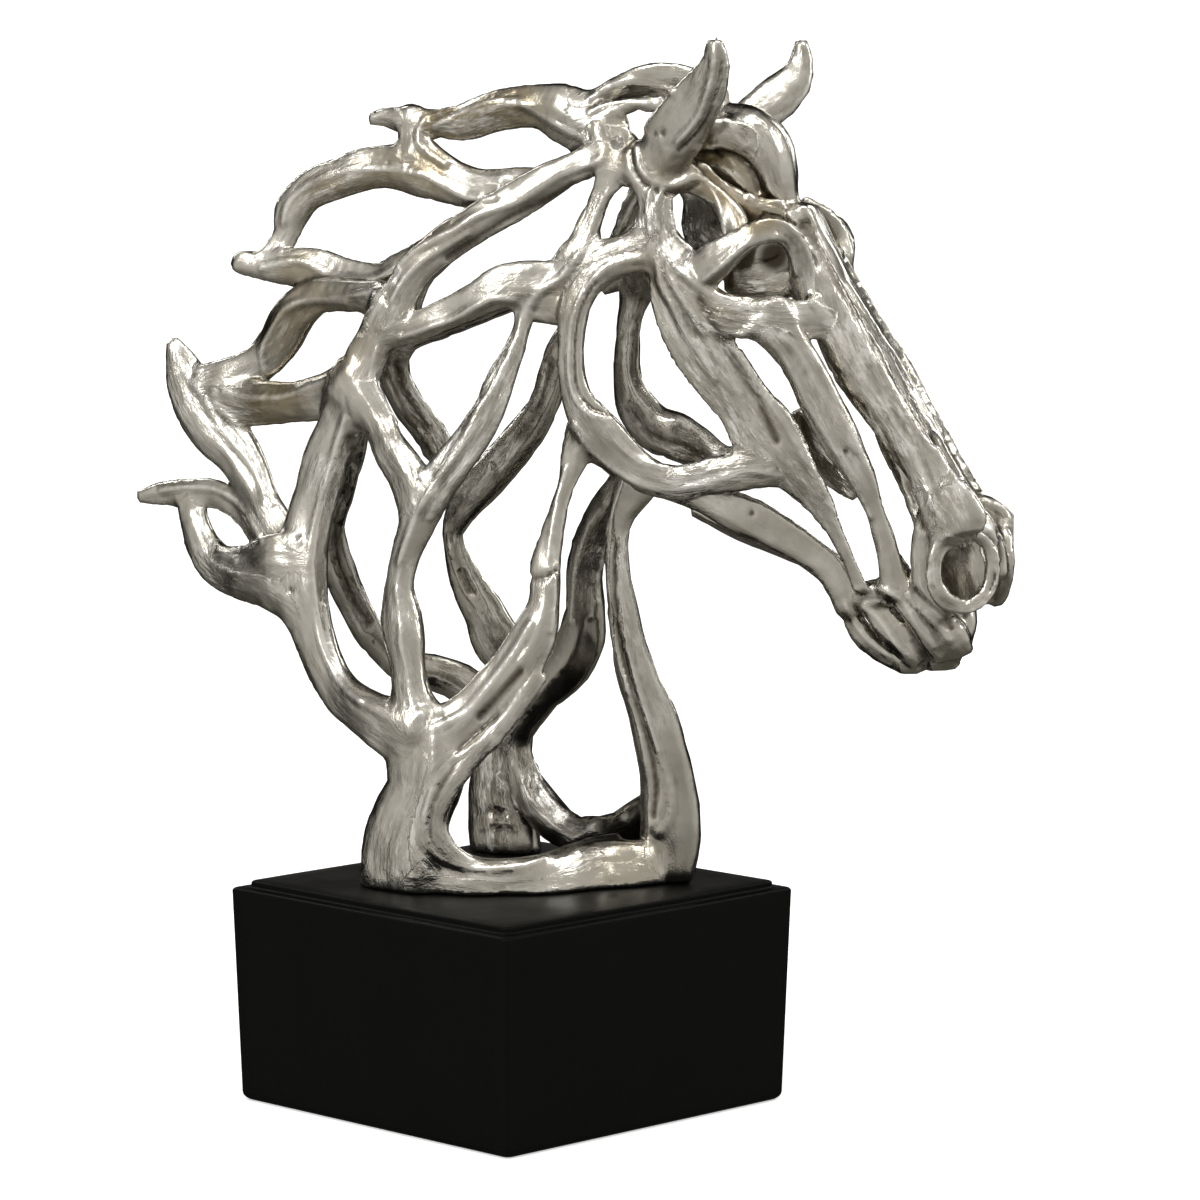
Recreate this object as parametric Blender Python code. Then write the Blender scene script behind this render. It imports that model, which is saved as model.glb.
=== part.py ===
"""Openwork horse head and neck, one resin casting, standing on a black square block.

The figure is free form: a basket of tapering strands.  They are drawn on a sheet of
1200 by 1200 units, which shows the horse three-quarter on from its right.  Each point
of a strand has its place on the sheet, how far out from the horse's middle plane it
lies, and the width that the strand shows there.  The sheet is scaled by the figure's
own height.  The block has its own sizes in metres.

Z is up, the block's underside lies at Z = 0 and its sides face X and Y.
"""
import math

import bmesh
import bpy
import numpy as np

for old in list(bpy.data.objects):
    bpy.data.objects.remove(old)

# Driving dimensions, in metres
FIGURE_HEIGHT = 0.292       # top of the block's panel to the tip of the near ear
BLOCK_SIDE = 0.1394         # at the top edge
BLOCK_FOOT_SIDE = 0.1352    # at the underside, the sides draw in a little
BLOCK_HEIGHT = 0.0755
BLOCK_EDGE_ROUND = 0.0018
PANEL_SIDE = 0.130          # the raised panel that the horse stands on
PANEL_RISE = 0.0024
GLUE_GAP = 0.0003           # between the horse's feet and the panel

# How the casting is finished off
WALL_GRAIN = 0.0016         # cell of the mesh that melts the strands into one body
SOFTENING = 0.5             # how far a point moves towards its neighbours' middle
SOFTENING_ROUNDS = 4
FACE_SHARE = 0.045          # share of that mesh's faces that is kept

# The sheet
SHEET_FIGURE_HEIGHT = 841.0         # the figure's height in sheet units
UNIT = FIGURE_HEIGHT / SHEET_FIGURE_HEIGHT
SHEET_MIDDLE = 600.0
EYE_DISTANCE = 5362.0               # in sheet units, from the eye to the sheet
EYE_PITCH = math.radians(7.0)       # the sheet is seen from a little above
SHEET_TURN = math.radians(45.0)     # it looks across the block's corner
HORSE_TURN = math.radians(25.0)     # the horse turns its nose out of the sheet
SHEET_AIM = np.array([88.8, 0.0, 284.2])    # right, away, up from the panel's middle
MIDDLE_PLANE = 30.0                 # the horse's middle plane, away from the block's
STRAND_STEP = 9.0                   # between two rings of a strand
STRAND_SIDES = 10
STRAND_GROWTH = 0.8                 # what the melting takes off, given back
THINNEST_WIDTH = 4.0                # no strand is drawn thinner
LEAST_SEEN = 0.5                    # share of a strand's width that is seen at a slant
END_REACH = (0.42, 0.25)            # the two rings past a strand's end, in half widths,
END_SIZE = (0.5, 0.85)              # and how wide they are

LOOK = np.array([0.0, math.cos(EYE_PITCH), -math.sin(EYE_PITCH)])
SHEET_UP = np.array([0.0, math.sin(EYE_PITCH), math.cos(EYE_PITCH)])
SHEET_RIGHT = np.array([1.0, 0.0, 0.0])
FAR_SIDE = np.array([math.sin(HORSE_TURN), math.cos(HORSE_TURN), 0.0])
EYE = SHEET_AIM - EYE_DISTANCE * LOOK

# Each strand: (depth as a share of width, [(across, down, out, width), ...])
NECK_NEAR = {
    "crest trunk": (0.75, [
        (356, 392, 55, 58), (341, 428, 52, 52), (323, 470, 52, 49), (311, 512, 56, 48),
        (302, 552, 62, 52), (300, 590, 68, 55), (311, 627, 74, 46), (323, 663, 82, 44),
        (344, 697, 92, 43), (375, 720, 104, 48), (413, 743, 116, 60)]),
    "joint strand": (0.7, [
        (350, 378, 58, 46), (366, 402, 64, 40), (380, 427, 72, 34), (391, 451, 82, 39),
        (408, 478, 92, 42), (418, 506, 98, 44)]),
    "middle trunk": (0.8, [
        (430, 492, 96, 42), (418, 524, 99, 36), (405, 556, 101, 29), (399, 588, 103, 30),
        (400, 616, 106, 43), (404, 642, 110, 43), (407, 666, 113, 37), (411, 695, 117, 42),
        (418, 730, 120, 62)]),
    "slender strand": (0.7, [
        (526, 306, 66, 20), (520, 330, 70, 18), (511, 355, 76, 24), (499, 383, 82, 30),
        (489, 409, 86, 31), (472, 438, 90, 35), (451, 467, 94, 38), (430, 492, 96, 40)]),
    "right branch": (0.7, [
        (586, 436, 66, 46), (575, 455, 68, 30), (566, 486, 74, 18), (557, 515, 80, 20),
        (550, 540, 86, 26), (545, 570, 92, 30), (544, 600, 97, 33), (537, 628, 102, 43),
        (520, 658, 106, 48), (496, 688, 110, 47), (466, 716, 114, 46),
        (436, 744, 118, 58)]),
    "foot trunk": (0.8, [
        (428, 738, 118, 66), (425, 766, 120, 80), (422, 792, 122, 74), (410, 820, 122, 80),
        (404, 850, 120, 90), (404, 885, 118, 92)]),
    "foot band": (1.0, [
        (400, 872, 118, 70), (430, 880, 114, 44), (465, 882, 108, 40), (500, 882, 98, 40),
        (535, 879, 84, 44), (565, 872, 68, 50), (595, 864, 48, 64), (628, 866, 20, 58),
        (656, 866, -6, 54), (676, 862, -34, 46)]),
    "long diagonal": (0.6, [
        (606, 152, 52, 30), (577, 166, 54, 30), (546, 183, 56, 36), (511, 203, 58, 39),
        (475, 224, 60, 37), (443, 246, 60, 37), (415, 271, 60, 36), (398, 300, 60, 38),
        (388, 326, 58, 40)]),
    "lower mane strand": (0.55, [
        (376, 334, 56, 40), (396, 332, 60, 32), (420, 326, 64, 32), (451, 314, 67, 34),
        (480, 299, 70, 38), (505, 286, 70, 44), (532, 281, 68, 40), (556, 276, 66, 34),
        (577, 252, 64, 30), (590, 223, 60, 24), (600, 197, 58, 21), (611, 177, 56, 23),
        (622, 158, 52, 32)]),
    "web behind the cheek": (0.4, [
        (520, 298, 66, 28), (544, 304, 66, 36), (572, 308, 66, 40)]),
    "stem under the diagonal": (0.6, [
        (390, 308, 60, 38), (378, 334, 58, 40), (362, 366, 58, 44), (352, 398, 56, 54)]),
}
MANE = {
    "upper ribbon": (0.55, [
        (500, 194, 40, 34), (466, 190, 30, 35), (430, 176, 22, 46), (400, 168, 16, 44),
        (371, 168, 12, 45), (338, 178, 8, 41), (309, 192, 4, 39), (291, 213, 2, 37),
        (285, 236, 2, 26), (264, 260, 4, 20), (244, 263, 4, 20), (236, 263, 4, 14)]),
    "upper ribbon root": (0.6, [
        (411, 112, 10, 24), (411, 132, 14, 24), (412, 154, 16, 30)]),
    "top lock": (0.7, [
        (371, 119, 8, 14), (386, 117, 8, 20), (398, 119, 9, 24), (418, 122, 12, 28),
        (440, 123, 15, 28), (462, 123, 18, 36), (485, 115, 21, 40), (512, 108, 24, 42),
        (540, 106, 28, 44), (566, 114, 32, 60), (596, 130, 38, 56), (625, 142, 44, 40)]),
    "strand below the slot": (0.6, [
        (421, 140, 18, 14), (430, 152, 20, 18), (443, 163, 22, 22), (460, 176, 24, 27),
        (480, 183, 28, 30), (512, 184, 34, 32), (545, 180, 40, 28), (577, 166, 42, 26),
        (602, 150, 44, 30)]),
    "second lock": (0.55, [
        (240, 262, 4, 18), (262, 268, 6, 24), (291, 267, 10, 37), (320, 268, 14, 39),
        (350, 274, 22, 31), (378, 275, 32, 23), (399, 264, 42, 24), (424, 248, 50, 20),
        (452, 231, 55, 18)]),
    "third lock": (0.55, [
        (382, 299, 52, 38), (352, 296, 40, 32), (319, 297, 24, 36), (294, 315, 14, 44),
        (277, 344, 8, 44), (255, 366, 4, 38), (226, 378, 2, 40), (205, 384, 0, 42)]),
    "third lock flame": (0.55, [
        (173, 344, -8, 18), (177, 355, -8, 28), (184, 373, -6, 42), (194, 398, -3, 52),
        (214, 427, 2, 56), (237, 452, 10, 50), (254, 481, 20, 42), (266, 508, 32, 36),
        (282, 534, 44, 36), (298, 558, 54, 40)]),
    "bridge to the trunk": (0.6, [
        (354, 378, 52, 44), (330, 394, 44, 47), (302, 402, 32, 43), (272, 403, 20, 45),
        (244, 402, 8, 48), (220, 394, 2, 48)]),
    "fourth lock": (0.5, [
        (140, 497, -6, 14), (162, 494, -4, 23), (188, 492, 0, 29), (214, 493, 8, 30),
        (237, 507, 20, 27), (253, 527, 32, 23), (266, 548, 44, 30)]),
    "fourth lock root": (0.55, [
        (190, 496, 0, 26), (193, 517, 4, 30), (201, 542, 12, 34), (217, 565, 24, 42),
        (243, 577, 38, 48), (270, 587, 54, 50)]),
}
NECK_FAR = {
    "far crest trunk": (0.8, [
        (356, 412, 10, 32), (351, 450, -10, 30), (341, 490, -30, 30), (332, 530, -46, 28),
        (341, 576, -60, 34), (357, 612, -72, 34), (376, 643, -84, 30), (402, 666, -94, 34),
        (440, 674, -104, 40), (474, 694, -114, 44), (498, 736, -122, 44)]),
    "far diagonal": (0.8, [
        (604, 158, -50, 24), (562, 178, -52, 24), (520, 202, -54, 26), (480, 228, -56, 26),
        (446, 252, -56, 26), (420, 280, -56, 26), (405, 316, -56, 28), (398, 345, -56, 30)]),
    "far lower mane strand": (0.8, [
        (402, 340, -56, 24), (440, 328, -58, 24), (476, 314, -60, 22), (508, 300, -60, 24),
        (545, 290, -60, 28), (582, 266, -58, 26), (598, 234, -52, 18),
        (618, 190, -48, 20)]),
    "far upper strand": (0.8, [
        (398, 340, -56, 32), (393, 372, -60, 34), (406, 402, -64, 34), (426, 428, -68, 35),
        (441, 455, -72, 32), (455, 488, -78, 30)]),
    "far slender strand": (0.8, [
        (572, 328, -58, 26), (559, 352, -62, 28), (551, 380, -66, 30), (543, 405, -68, 32),
        (528, 431, -72, 36), (506, 457, -76, 40), (482, 484, -80, 40), (462, 509, -84, 34),
        (452, 534, -86, 25), (458, 560, -88, 28), (470, 588, -92, 37), (485, 614, -96, 45),
        (497, 642, -100, 53), (514, 670, -106, 42), (532, 700, -112, 40)]),
    "far throat strand": (0.8, [
        (630, 478, -40, 38), (607, 505, -56, 33), (595, 530, -66, 35), (587, 556, -74, 38),
        (584, 584, -82, 40), (585, 612, -88, 43), (580, 642, -96, 51), (563, 670, -104, 49),
        (536, 698, -112, 42), (512, 726, -120, 44)]),
    "throat web": (0.5, [
        (582, 448, 64, 22), (602, 455, 50, 24), (622, 470, 20, 26)]),
    "far rear pillar": (0.9, [
        (503, 728, -122, 42), (498, 756, -124, 53), (499, 788, -126, 66),
        (502, 820, -124, 74), (506, 850, -122, 76)]),
    "far band": (0.9, [
        (540, 700, -112, 24), (521, 735, -118, 26), (523, 768, -118, 28),
        (539, 805, -110, 42), (572, 833, -96, 38), (605, 833, -80, 36), (634, 822, -58, 40),
        (656, 800, -36, 30)]),
    "front pillar": (0.8, [
        (636, 484, -6, 44), (622, 512, -6, 29), (617, 540, -6, 23), (618, 572, -6, 25),
        (622, 604, -6, 29), (628, 640, -8, 35), (638, 680, -12, 42), (653, 718, -18, 48),
        (663, 756, -22, 54), (669, 796, -26, 58), (670, 832, -28, 60),
        (666, 868, -28, 60)]),
}
HEAD_NEAR = {
    "cheek ring": (0.6, [
        (664, 250, 62, 34), (634, 257, 66, 30), (606, 268, 70, 30), (586, 286, 72, 28),
        (574, 312, 74, 28), (571, 345, 76, 27), (572, 378, 76, 30), (580, 405, 76, 35),
        (596, 426, 76, 40), (615, 448, 74, 40), (642, 472, 72, 36), (674, 483, 70, 33),
        (708, 478, 70, 36), (741, 471, 70, 38), (772, 468, 66, 34)]),
    "temple band": (0.5, [
        (568, 262, 64, 30), (600, 254, 66, 26), (630, 245, 66, 26), (658, 236, 66, 32)]),
    "cheek plate": (0.3, [
        (668, 258, 66, 32), (675, 291, 70, 52), (698, 341, 74, 61), (723, 377, 74, 58),
        (746, 409, 72, 56), (765, 436, 70, 66), (792, 468, 64, 48), (818, 502, 56, 28),
        (834, 531, 50, 17), (848, 560, 44, 13), (859, 586, 40, 14)]),
    "cheek bone": (0.4, [
        (664, 250, 66, 28), (684, 284, 76, 36), (712, 310, 80, 42), (745, 317, 80, 41),
        (775, 320, 74, 40), (800, 320, 64, 38), (828, 318, 50, 38)]),
    "cheek bone strand": (0.6, [
        (768, 318, 74, 48), (788, 346, 70, 38), (806, 374, 66, 38), (821, 404, 62, 40),
        (836, 434, 58, 40), (852, 462, 54, 32), (866, 488, 50, 24), (876, 514, 46, 20),
        (885, 542, 42, 21), (890, 566, 40, 24), (896, 592, 38, 28)]),
    "brow": (0.6, [
        (676, 262, 70, 28), (696, 270, 76, 34), (716, 262, 82, 38), (738, 244, 86, 28),
        (760, 231, 82, 23), (780, 230, 72, 22), (796, 244, 60, 22), (802, 268, 52, 26),
        (808, 300, 46, 30)]),
    "inner web": (0.4, [
        (800, 416, 40, 24), (812, 444, 34, 40), (834, 466, 34, 40), (856, 486, 40, 28)]),
    "nose side": (0.5, [
        (796, 214, 34, 28), (808, 244, 38, 33), (820, 278, 42, 42), (836, 319, 44, 51),
        (857, 361, 44, 55), (882, 401, 44, 50), (908, 440, 44, 46), (932, 480, 46, 42),
        (948, 516, 50, 46), (950, 540, 50, 44)]),
    "nose inner edge": (0.8, [
        (858, 392, 20, 14), (879, 425, 18, 20), (897, 459, 18, 22), (911, 492, 22, 20),
        (923, 524, 28, 18), (929, 556, 36, 22)]),
    "temple strand": (0.5, [
        (644, 168, 60, 26), (652, 198, 64, 27), (655, 226, 66, 36), (656, 250, 66, 38)]),
    "temple fore strand": (0.5, [
        (690, 180, 60, 22), (714, 196, 60, 22), (732, 220, 66, 28), (738, 240, 76, 22)]),
    "temple near strand": (0.5, [
        (666, 180, 60, 20), (662, 206, 64, 18), (666, 236, 68, 22), (682, 256, 74, 24)]),
    "lower jaw": (0.5, [
        (650, 484, 60, 18), (684, 493, 58, 25), (714, 502, 52, 34), (745, 517, 46, 42),
        (774, 532, 40, 38), (803, 549, 34, 32), (827, 567, 30, 32), (842, 590, 28, 30),
        (850, 606, 26, 30)]),
    "eye bowl": (0.3, [
        (734, 272, 48, 52), (762, 270, 44, 70), (788, 264, 38, 62)]),
}
HEAD_MIDDLE = {
    "forehead shell": (1.3, [
        (726, 114, 10, 24), (750, 128, 14, 44), (766, 148, 14, 50), (776, 174, 12, 43),
        (782, 202, 8, 34), (795, 228, 4, 30)]),
    "recess floor": (0.25, [
        (690, 150, 20, 44), (716, 160, 24, 54), (740, 174, 24, 54), (765, 196, 24, 40)]),
    "forehead ledge": (0.4, [
        (690, 168, 44, 26), (722, 196, 44, 28), (752, 210, 44, 28), (778, 212, 36, 24)]),
    "poll arch": (0.6, [
        (588, 101, 36, 14), (612, 88, 30, 19), (640, 79, 20, 25), (668, 76, 10, 27),
        (694, 83, 0, 29), (716, 100, -10, 30)]),
    "poll inner arch": (0.6, [
        (588, 108, 30, 18), (616, 100, 20, 20), (646, 95, 10, 18), (668, 100, 10, 18),
        (690, 110, 0, 30)]),
    "poll lower arch": (0.6, [
        (580, 120, 40, 22), (606, 113, 44, 18), (634, 105, 46, 15), (660, 104, 48, 18)]),
    "poll web": (0.5, [
        (606, 164, 54, 30), (628, 172, 56, 26), (648, 178, 58, 26)]),
    "poll pillar": (0.7, [
        (600, 128, 44, 30), (611, 144, 46, 27), (631, 155, 50, 28), (650, 166, 54, 34)]),
    "skull cap": (1.0, [
        (660, 150, 40, 44), (690, 132, 20, 48), (716, 124, -10, 46), (740, 132, -36, 36)]),
    "nose bridge": (2.4, [
        (800, 216, 0, 40), (826, 260, 0, 32), (856, 314, 0, 32), (886, 368, 0, 32),
        (914, 420, 0, 32), (938, 466, 0, 34), (956, 502, 0, 40)]),
    "cheek tie": (0.8, [
        (630, 262, 60, 26), (636, 272, 10, 34), (640, 282, -50, 34)]),
    "jaw floor": (2.6, [
        (700, 508, 4, 24), (736, 526, 0, 26), (770, 540, 0, 26), (806, 556, 0, 24)]),
}
MUZZLE = {
    "nostril ring": (0.5, [
        (966, 537, 38, 14), (984, 542, 28, 14), (992, 562, 22, 14), (988, 586, 24, 14),
        (972, 606, 36, 16), (950, 602, 50, 18), (937, 582, 56, 18), (937, 556, 56, 18),
        (949, 541, 48, 16), (966, 537, 38, 14)]),
    "nostril floor": (0.3, [
        (958, 548, 10, 40), (964, 572, 10, 48), (964, 596, 10, 36)]),
    "nose tip": (0.9, [
        (950, 510, 10, 46), (976, 528, 4, 36), (992, 548, -4, 26), (996, 572, -6, 24)]),
    "muzzle side": (0.7, [
        (926, 536, 44, 26), (928, 566, 44, 28), (934, 590, 42, 28), (950, 612, 38, 24)]),
    "upper lip": (0.7, [
        (862, 594, 26, 22), (884, 590, 28, 24), (906, 598, 30, 30), (926, 617, 30, 38),
        (944, 638, 24, 48), (952, 650, 16, 40)]),
    "lip ridge": (0.8, [
        (866, 600, 34, 9), (884, 597, 38, 10), (900, 604, 40, 10), (914, 622, 40, 11),
        (926, 642, 36, 12), (940, 658, 26, 14)]),
    "lower lip": (0.6, [
        (862, 602, 26, 12), (876, 616, 32, 24), (892, 634, 34, 30), (908, 650, 30, 28),
        (918, 661, 22, 18)]),
    "chin": (0.8, [
        (848, 602, 20, 20), (855, 622, 20, 22), (868, 639, 18, 25), (886, 652, 14, 26),
        (904, 660, 10, 24), (916, 662, 8, 18)]),
    "muzzle core": (1.0, [
        (900, 606, 0, 26), (926, 622, 0, 44), (948, 634, 0, 50)]),
    "muzzle front": (1.0, [
        (960, 602, -4, 28), (960, 620, 0, 32), (954, 642, 4, 32)]),
    "lip floor": (0.7, [
        (904, 660, 14, 26), (928, 661, 10, 23), (950, 656, 6, 28)]),
    "web over the lip": (0.5, [
        (893, 560, 30, 18), (908, 580, 30, 20), (926, 584, 34, 24)]),
}
HEAD_FAR = {
    "far cheek ring": (0.7, [
        (655, 262, -40, 30), (640, 284, -62, 32), (630, 312, -70, 28), (627, 345, -72, 27),
        (627, 378, -72, 30), (635, 405, -72, 40), (653, 428, -72, 46), (676, 437, -70, 48),
        (699, 447, -68, 41), (724, 462, -62, 32), (752, 462, -62, 30)]),
    "far cheek ring rear": (0.6, [
        (656, 266, -44, 30), (636, 269, -56, 32), (618, 279, -62, 22), (604, 290, -58, 12)]),
    "far cheek plate": (0.3, [
        (680, 300, -62, 34), (704, 342, -66, 42), (728, 378, -66, 44), (750, 412, -66, 44),
        (768, 442, -64, 50), (790, 468, -58, 36), (814, 500, -52, 16), (838, 545, -44, 10),
        (858, 586, -36, 12)]),
    "far cheek bone": (0.5, [
        (650, 262, -50, 26), (680, 292, -66, 26), (712, 310, -70, 32), (745, 316, -70, 28),
        (775, 320, -66, 30), (806, 322, -52, 26), (842, 326, -40, 26)]),
    "far cheek strand": (0.7, [
        (780, 326, -66, 26), (806, 376, -60, 26), (836, 434, -54, 26), (862, 480, -48, 16),
        (877, 520, -42, 13), (890, 568, -36, 18), (898, 592, -30, 22)]),
    "far lower jaw": (0.6, [
        (650, 483, -50, 18), (684, 492, -50, 22), (714, 503, -46, 27), (745, 518, -42, 31),
        (775, 533, -36, 28), (802, 549, -30, 26), (826, 568, -26, 24),
        (846, 594, -22, 24)]),
    "far temple plate": (0.3, [
        (640, 176, -50, 24), (680, 180, -54, 26), (705, 200, -56, 44), (704, 226, -58, 46),
        (718, 242, -58, 40), (740, 236, -56, 40), (758, 226, -50, 30)]),
    "far temple leaf": (0.4, [
        (642, 184, -50, 14), (633, 204, -50, 19), (623, 226, -50, 17), (612, 246, -54, 12)]),
    "far brow plate": (0.5, [
        (802, 208, -40, 26), (820, 220, -54, 32), (834, 236, -60, 30), (842, 256, -54, 26)]),
    "far nostril plate": (0.6, [
        (986, 510, -38, 24), (1001, 530, -42, 24), (1003, 558, -42, 24), (995, 584, -36, 24)]),
    "far nose side": (0.6, [
        (800, 222, -30, 28), (826, 252, -36, 30), (853, 300, -38, 30), (884, 349, -38, 31),
        (911, 395, -38, 31), (931, 433, -38, 31), (950, 469, -38, 32),
        (969, 498, -40, 32)]),
    "far nostril wing": (0.7, [
        (980, 508, -34, 24), (999, 521, -40, 28), (1006, 545, -44, 20),
        (1001, 570, -42, 18), (988, 595, -34, 18)]),
}
HEAD_MIRRORED = {
    "far brow": (0.6, [
        (684, 266, 72, 28), (700, 270, 76, 32), (718, 262, 82, 34), (738, 245, 84, 26),
        (756, 233, 82, 22), (774, 233, 77, 22), (789, 248, 69, 22), (796, 270, 57, 26),
        (806, 300, 48, 30)]),
    "far eye bowl": (0.3, [
        (734, 272, 48, 52), (762, 270, 44, 66), (786, 264, 38, 58)]),
    "far nostril ring": (0.5, [
        (966, 537, 38, 14), (984, 542, 28, 14), (992, 562, 22, 14), (988, 586, 24, 14),
        (972, 606, 36, 16), (950, 602, 50, 18), (937, 582, 56, 18), (937, 556, 56, 18),
        (949, 541, 48, 16), (966, 537, 38, 14)]),
    "far muzzle side": (0.7, [
        (926, 536, 44, 26), (928, 566, 44, 28), (934, 590, 42, 28), (950, 612, 30, 24)]),
    "far upper lip": (0.7, [
        (862, 594, 26, 22), (884, 590, 26, 24), (906, 598, 24, 30), (926, 617, 16, 36),
        (940, 634, 8, 40)]),
    "far lower lip": (0.6, [
        (862, 602, 26, 12), (876, 616, 30, 22), (892, 634, 26, 26), (908, 650, 20, 24)]),
    "far temple strand": (0.5, [
        (642, 168, 60, 24), (648, 198, 62, 28), (652, 226, 62, 34), (656, 250, 60, 36)]),
}
EARS = {
    "near ear": (0.45, [
        (715, 44, 96, 18), (715, 64, 94, 29), (706, 86, 88, 43), (691, 110, 80, 54),
        (674, 134, 72, 58), (658, 156, 64, 52), (650, 172, 58, 38)]),
    "far ear": (0.45, [
        (801, 44, -94, 16), (801, 64, -92, 26), (791, 84, -84, 38), (773, 101, -72, 43),
        (754, 116, -58, 40), (734, 130, -44, 36)]),
    "ear base ring": (0.6, [
        (640, 146, 58, 16), (639, 166, 60, 18), (652, 180, 62, 18), (674, 184, 64, 18),
        (696, 176, 62, 16)]),
    "ear root": (0.6, [
        (640, 160, 56, 34), (662, 172, 58, 30), (688, 170, 56, 30)]),
}


def place(route):
    """Where the sight line of each sheet point meets its own plane beside the middle plane."""
    on_sheet = (
        (route[:, 0:1] - SHEET_MIDDLE) * SHEET_RIGHT
        + (SHEET_MIDDLE - route[:, 1:2]) * SHEET_UP)
    to_plane = MIDDLE_PLANE - route[:, 2] - SHEET_AIM @ FAR_SIDE - on_sheet @ FAR_SIDE
    behind = to_plane / (LOOK @ FAR_SIDE + on_sheet @ FAR_SIDE / EYE_DISTANCE)
    spread = 1.0 + behind[:, None] / EYE_DISTANCE
    return SHEET_AIM + behind[:, None] * LOOK + spread * on_sheet


def mirror(points):
    """The same points on the other side of the horse's middle plane."""
    away = points @ FAR_SIDE - MIDDLE_PLANE
    return points - 2.0 * away[:, None] * FAR_SIDE


def smooth_route(knots, closed):
    """A curve through the knots: each stretch is the cubic that its four nearest knots give."""
    if closed:
        padded = np.vstack([knots[-2], knots, knots[1]])
    else:
        padded = np.vstack([2 * knots[0] - knots[1], knots, 2 * knots[-1] - knots[-2]])
    stretches = []
    for first in range(len(knots) - 1):
        a, b, c, d = padded[first:first + 4]
        count = max(2, round(np.linalg.norm((c - b)[:3]) / STRAND_STEP))
        t = np.arange(count)[:, None] / count
        stretches.append(0.5 * (
            2 * b + (c - a) * t + (2 * a - 5 * b + 4 * c - d) * t**2
            + (3 * b - a - 3 * c + d) * t**3))
    if not closed:
        stretches.append(knots[-1:])
    return np.vstack(stretches)


def unit(vectors):
    return vectors / np.linalg.norm(vectors, axis=1, keepdims=True)


def strand_rings(depth_share, knots, mirrored):
    """Oval rings along the strand, as wide as drawn when seen from the sheet's eye."""
    route = np.array(knots, float)
    closed = bool((route[0] == route[-1]).all())
    points = place(route)
    if mirrored:
        points = mirror(points)
    curve = smooth_route(np.column_stack([points, route[:, 3]]), closed)
    middle = curve[:, :3]
    half = np.maximum(curve[:, 3], THINNEST_WIDTH) / 2.0
    if closed:
        along = unit(np.roll(middle, -1, axis=0) - np.roll(middle, 1, axis=0))
    else:
        along = unit(np.gradient(middle, axis=0))
        # rounded ends: two rings past each end, drawing in
        reach = np.array(END_REACH)[:, None]
        middle = np.vstack([
            middle[0] - reach * half[0] * along[0],
            middle,
            middle[-1] + reach[::-1] * half[-1] * along[-1]])
        along = np.vstack([along[:1], along[:1], along, along[-1:], along[-1:]])
        draw_in = np.array(END_SIZE)
        half = np.concatenate([draw_in * half[0], half, draw_in[::-1] * half[-1]])
    across = unit(np.cross(along, -FAR_SIDE))
    outward = np.cross(across, along)
    seen_side = unit(np.cross(along, middle - EYE))
    seen = np.hypot(
        (across * seen_side).sum(axis=1), depth_share * (outward * seen_side).sum(axis=1))
    half = half / np.maximum(seen, LEAST_SEEN) + STRAND_GROWTH
    turn = np.arange(STRAND_SIDES) * 2 * math.pi / STRAND_SIDES
    rim = (
        np.cos(turn)[None, :, None] * across[:, None, :]
        + depth_share * np.sin(turn)[None, :, None] * outward[:, None, :])
    return middle[:, None, :] + half[:, None, None] * rim, closed


def add_strand(casting, rings, closed):
    rows = [[casting.verts.new(point) for point in ring] for ring in rings]
    pairs = list(zip(rows, rows[1:]))
    if closed:
        pairs.append((rows[-1], rows[0]))
    for low, high in pairs:
        for side in range(STRAND_SIDES):
            after = (side + 1) % STRAND_SIDES
            casting.faces.new((low[side], low[after], high[after], high[side]))
    if not closed:
        casting.faces.new(rows[0][::-1])
        casting.faces.new(rows[-1])


def on_block(points):
    """Sheet units to metres on the block, whose corner faces the eye."""
    turned = np.array([
        [math.cos(SHEET_TURN), math.sin(SHEET_TURN), 0.0],
        [-math.sin(SHEET_TURN), math.cos(SHEET_TURN), 0.0],
        [0.0, 0.0, 1.0]])
    stand = np.array([0.0, 0.0, BLOCK_HEIGHT + PANEL_RISE + GLUE_GAP])
    return points * UNIT @ turned + stand


def new_object(name, shape, material):
    mesh = bpy.data.meshes.new(name)
    bmesh.ops.recalc_face_normals(shape, faces=shape.faces)
    shape.to_mesh(mesh)
    shape.free()
    mesh.materials.append(material)
    made = bpy.data.objects.new(name, mesh)
    bpy.context.scene.collection.objects.link(made)
    return made


def new_material(name, colour, metallic, roughness):
    material = bpy.data.materials.new(name)
    material.use_nodes = True
    surface = material.node_tree.nodes["Principled BSDF"]
    surface.inputs["Base Color"].default_value = (*colour, 1.0)
    surface.inputs["Metallic"].default_value = metallic
    surface.inputs["Roughness"].default_value = roughness
    return material


def floor_cutter():
    """A slab under the panel's top that cuts the horse's feet flat."""
    top = BLOCK_HEIGHT + PANEL_RISE + GLUE_GAP
    shape = bmesh.new()
    bmesh.ops.create_cube(shape, size=1.0)
    bmesh.ops.scale(shape, vec=(2 * BLOCK_SIDE, 2 * BLOCK_SIDE, BLOCK_HEIGHT), verts=shape.verts)
    bmesh.ops.translate(shape, vec=(0.0, 0.0, top - BLOCK_HEIGHT / 2), verts=shape.verts)
    cutter = new_object("floor_cutter", shape, None)
    cutter.hide_render = True
    cutter.display_type = "WIRE"
    return cutter


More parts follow.
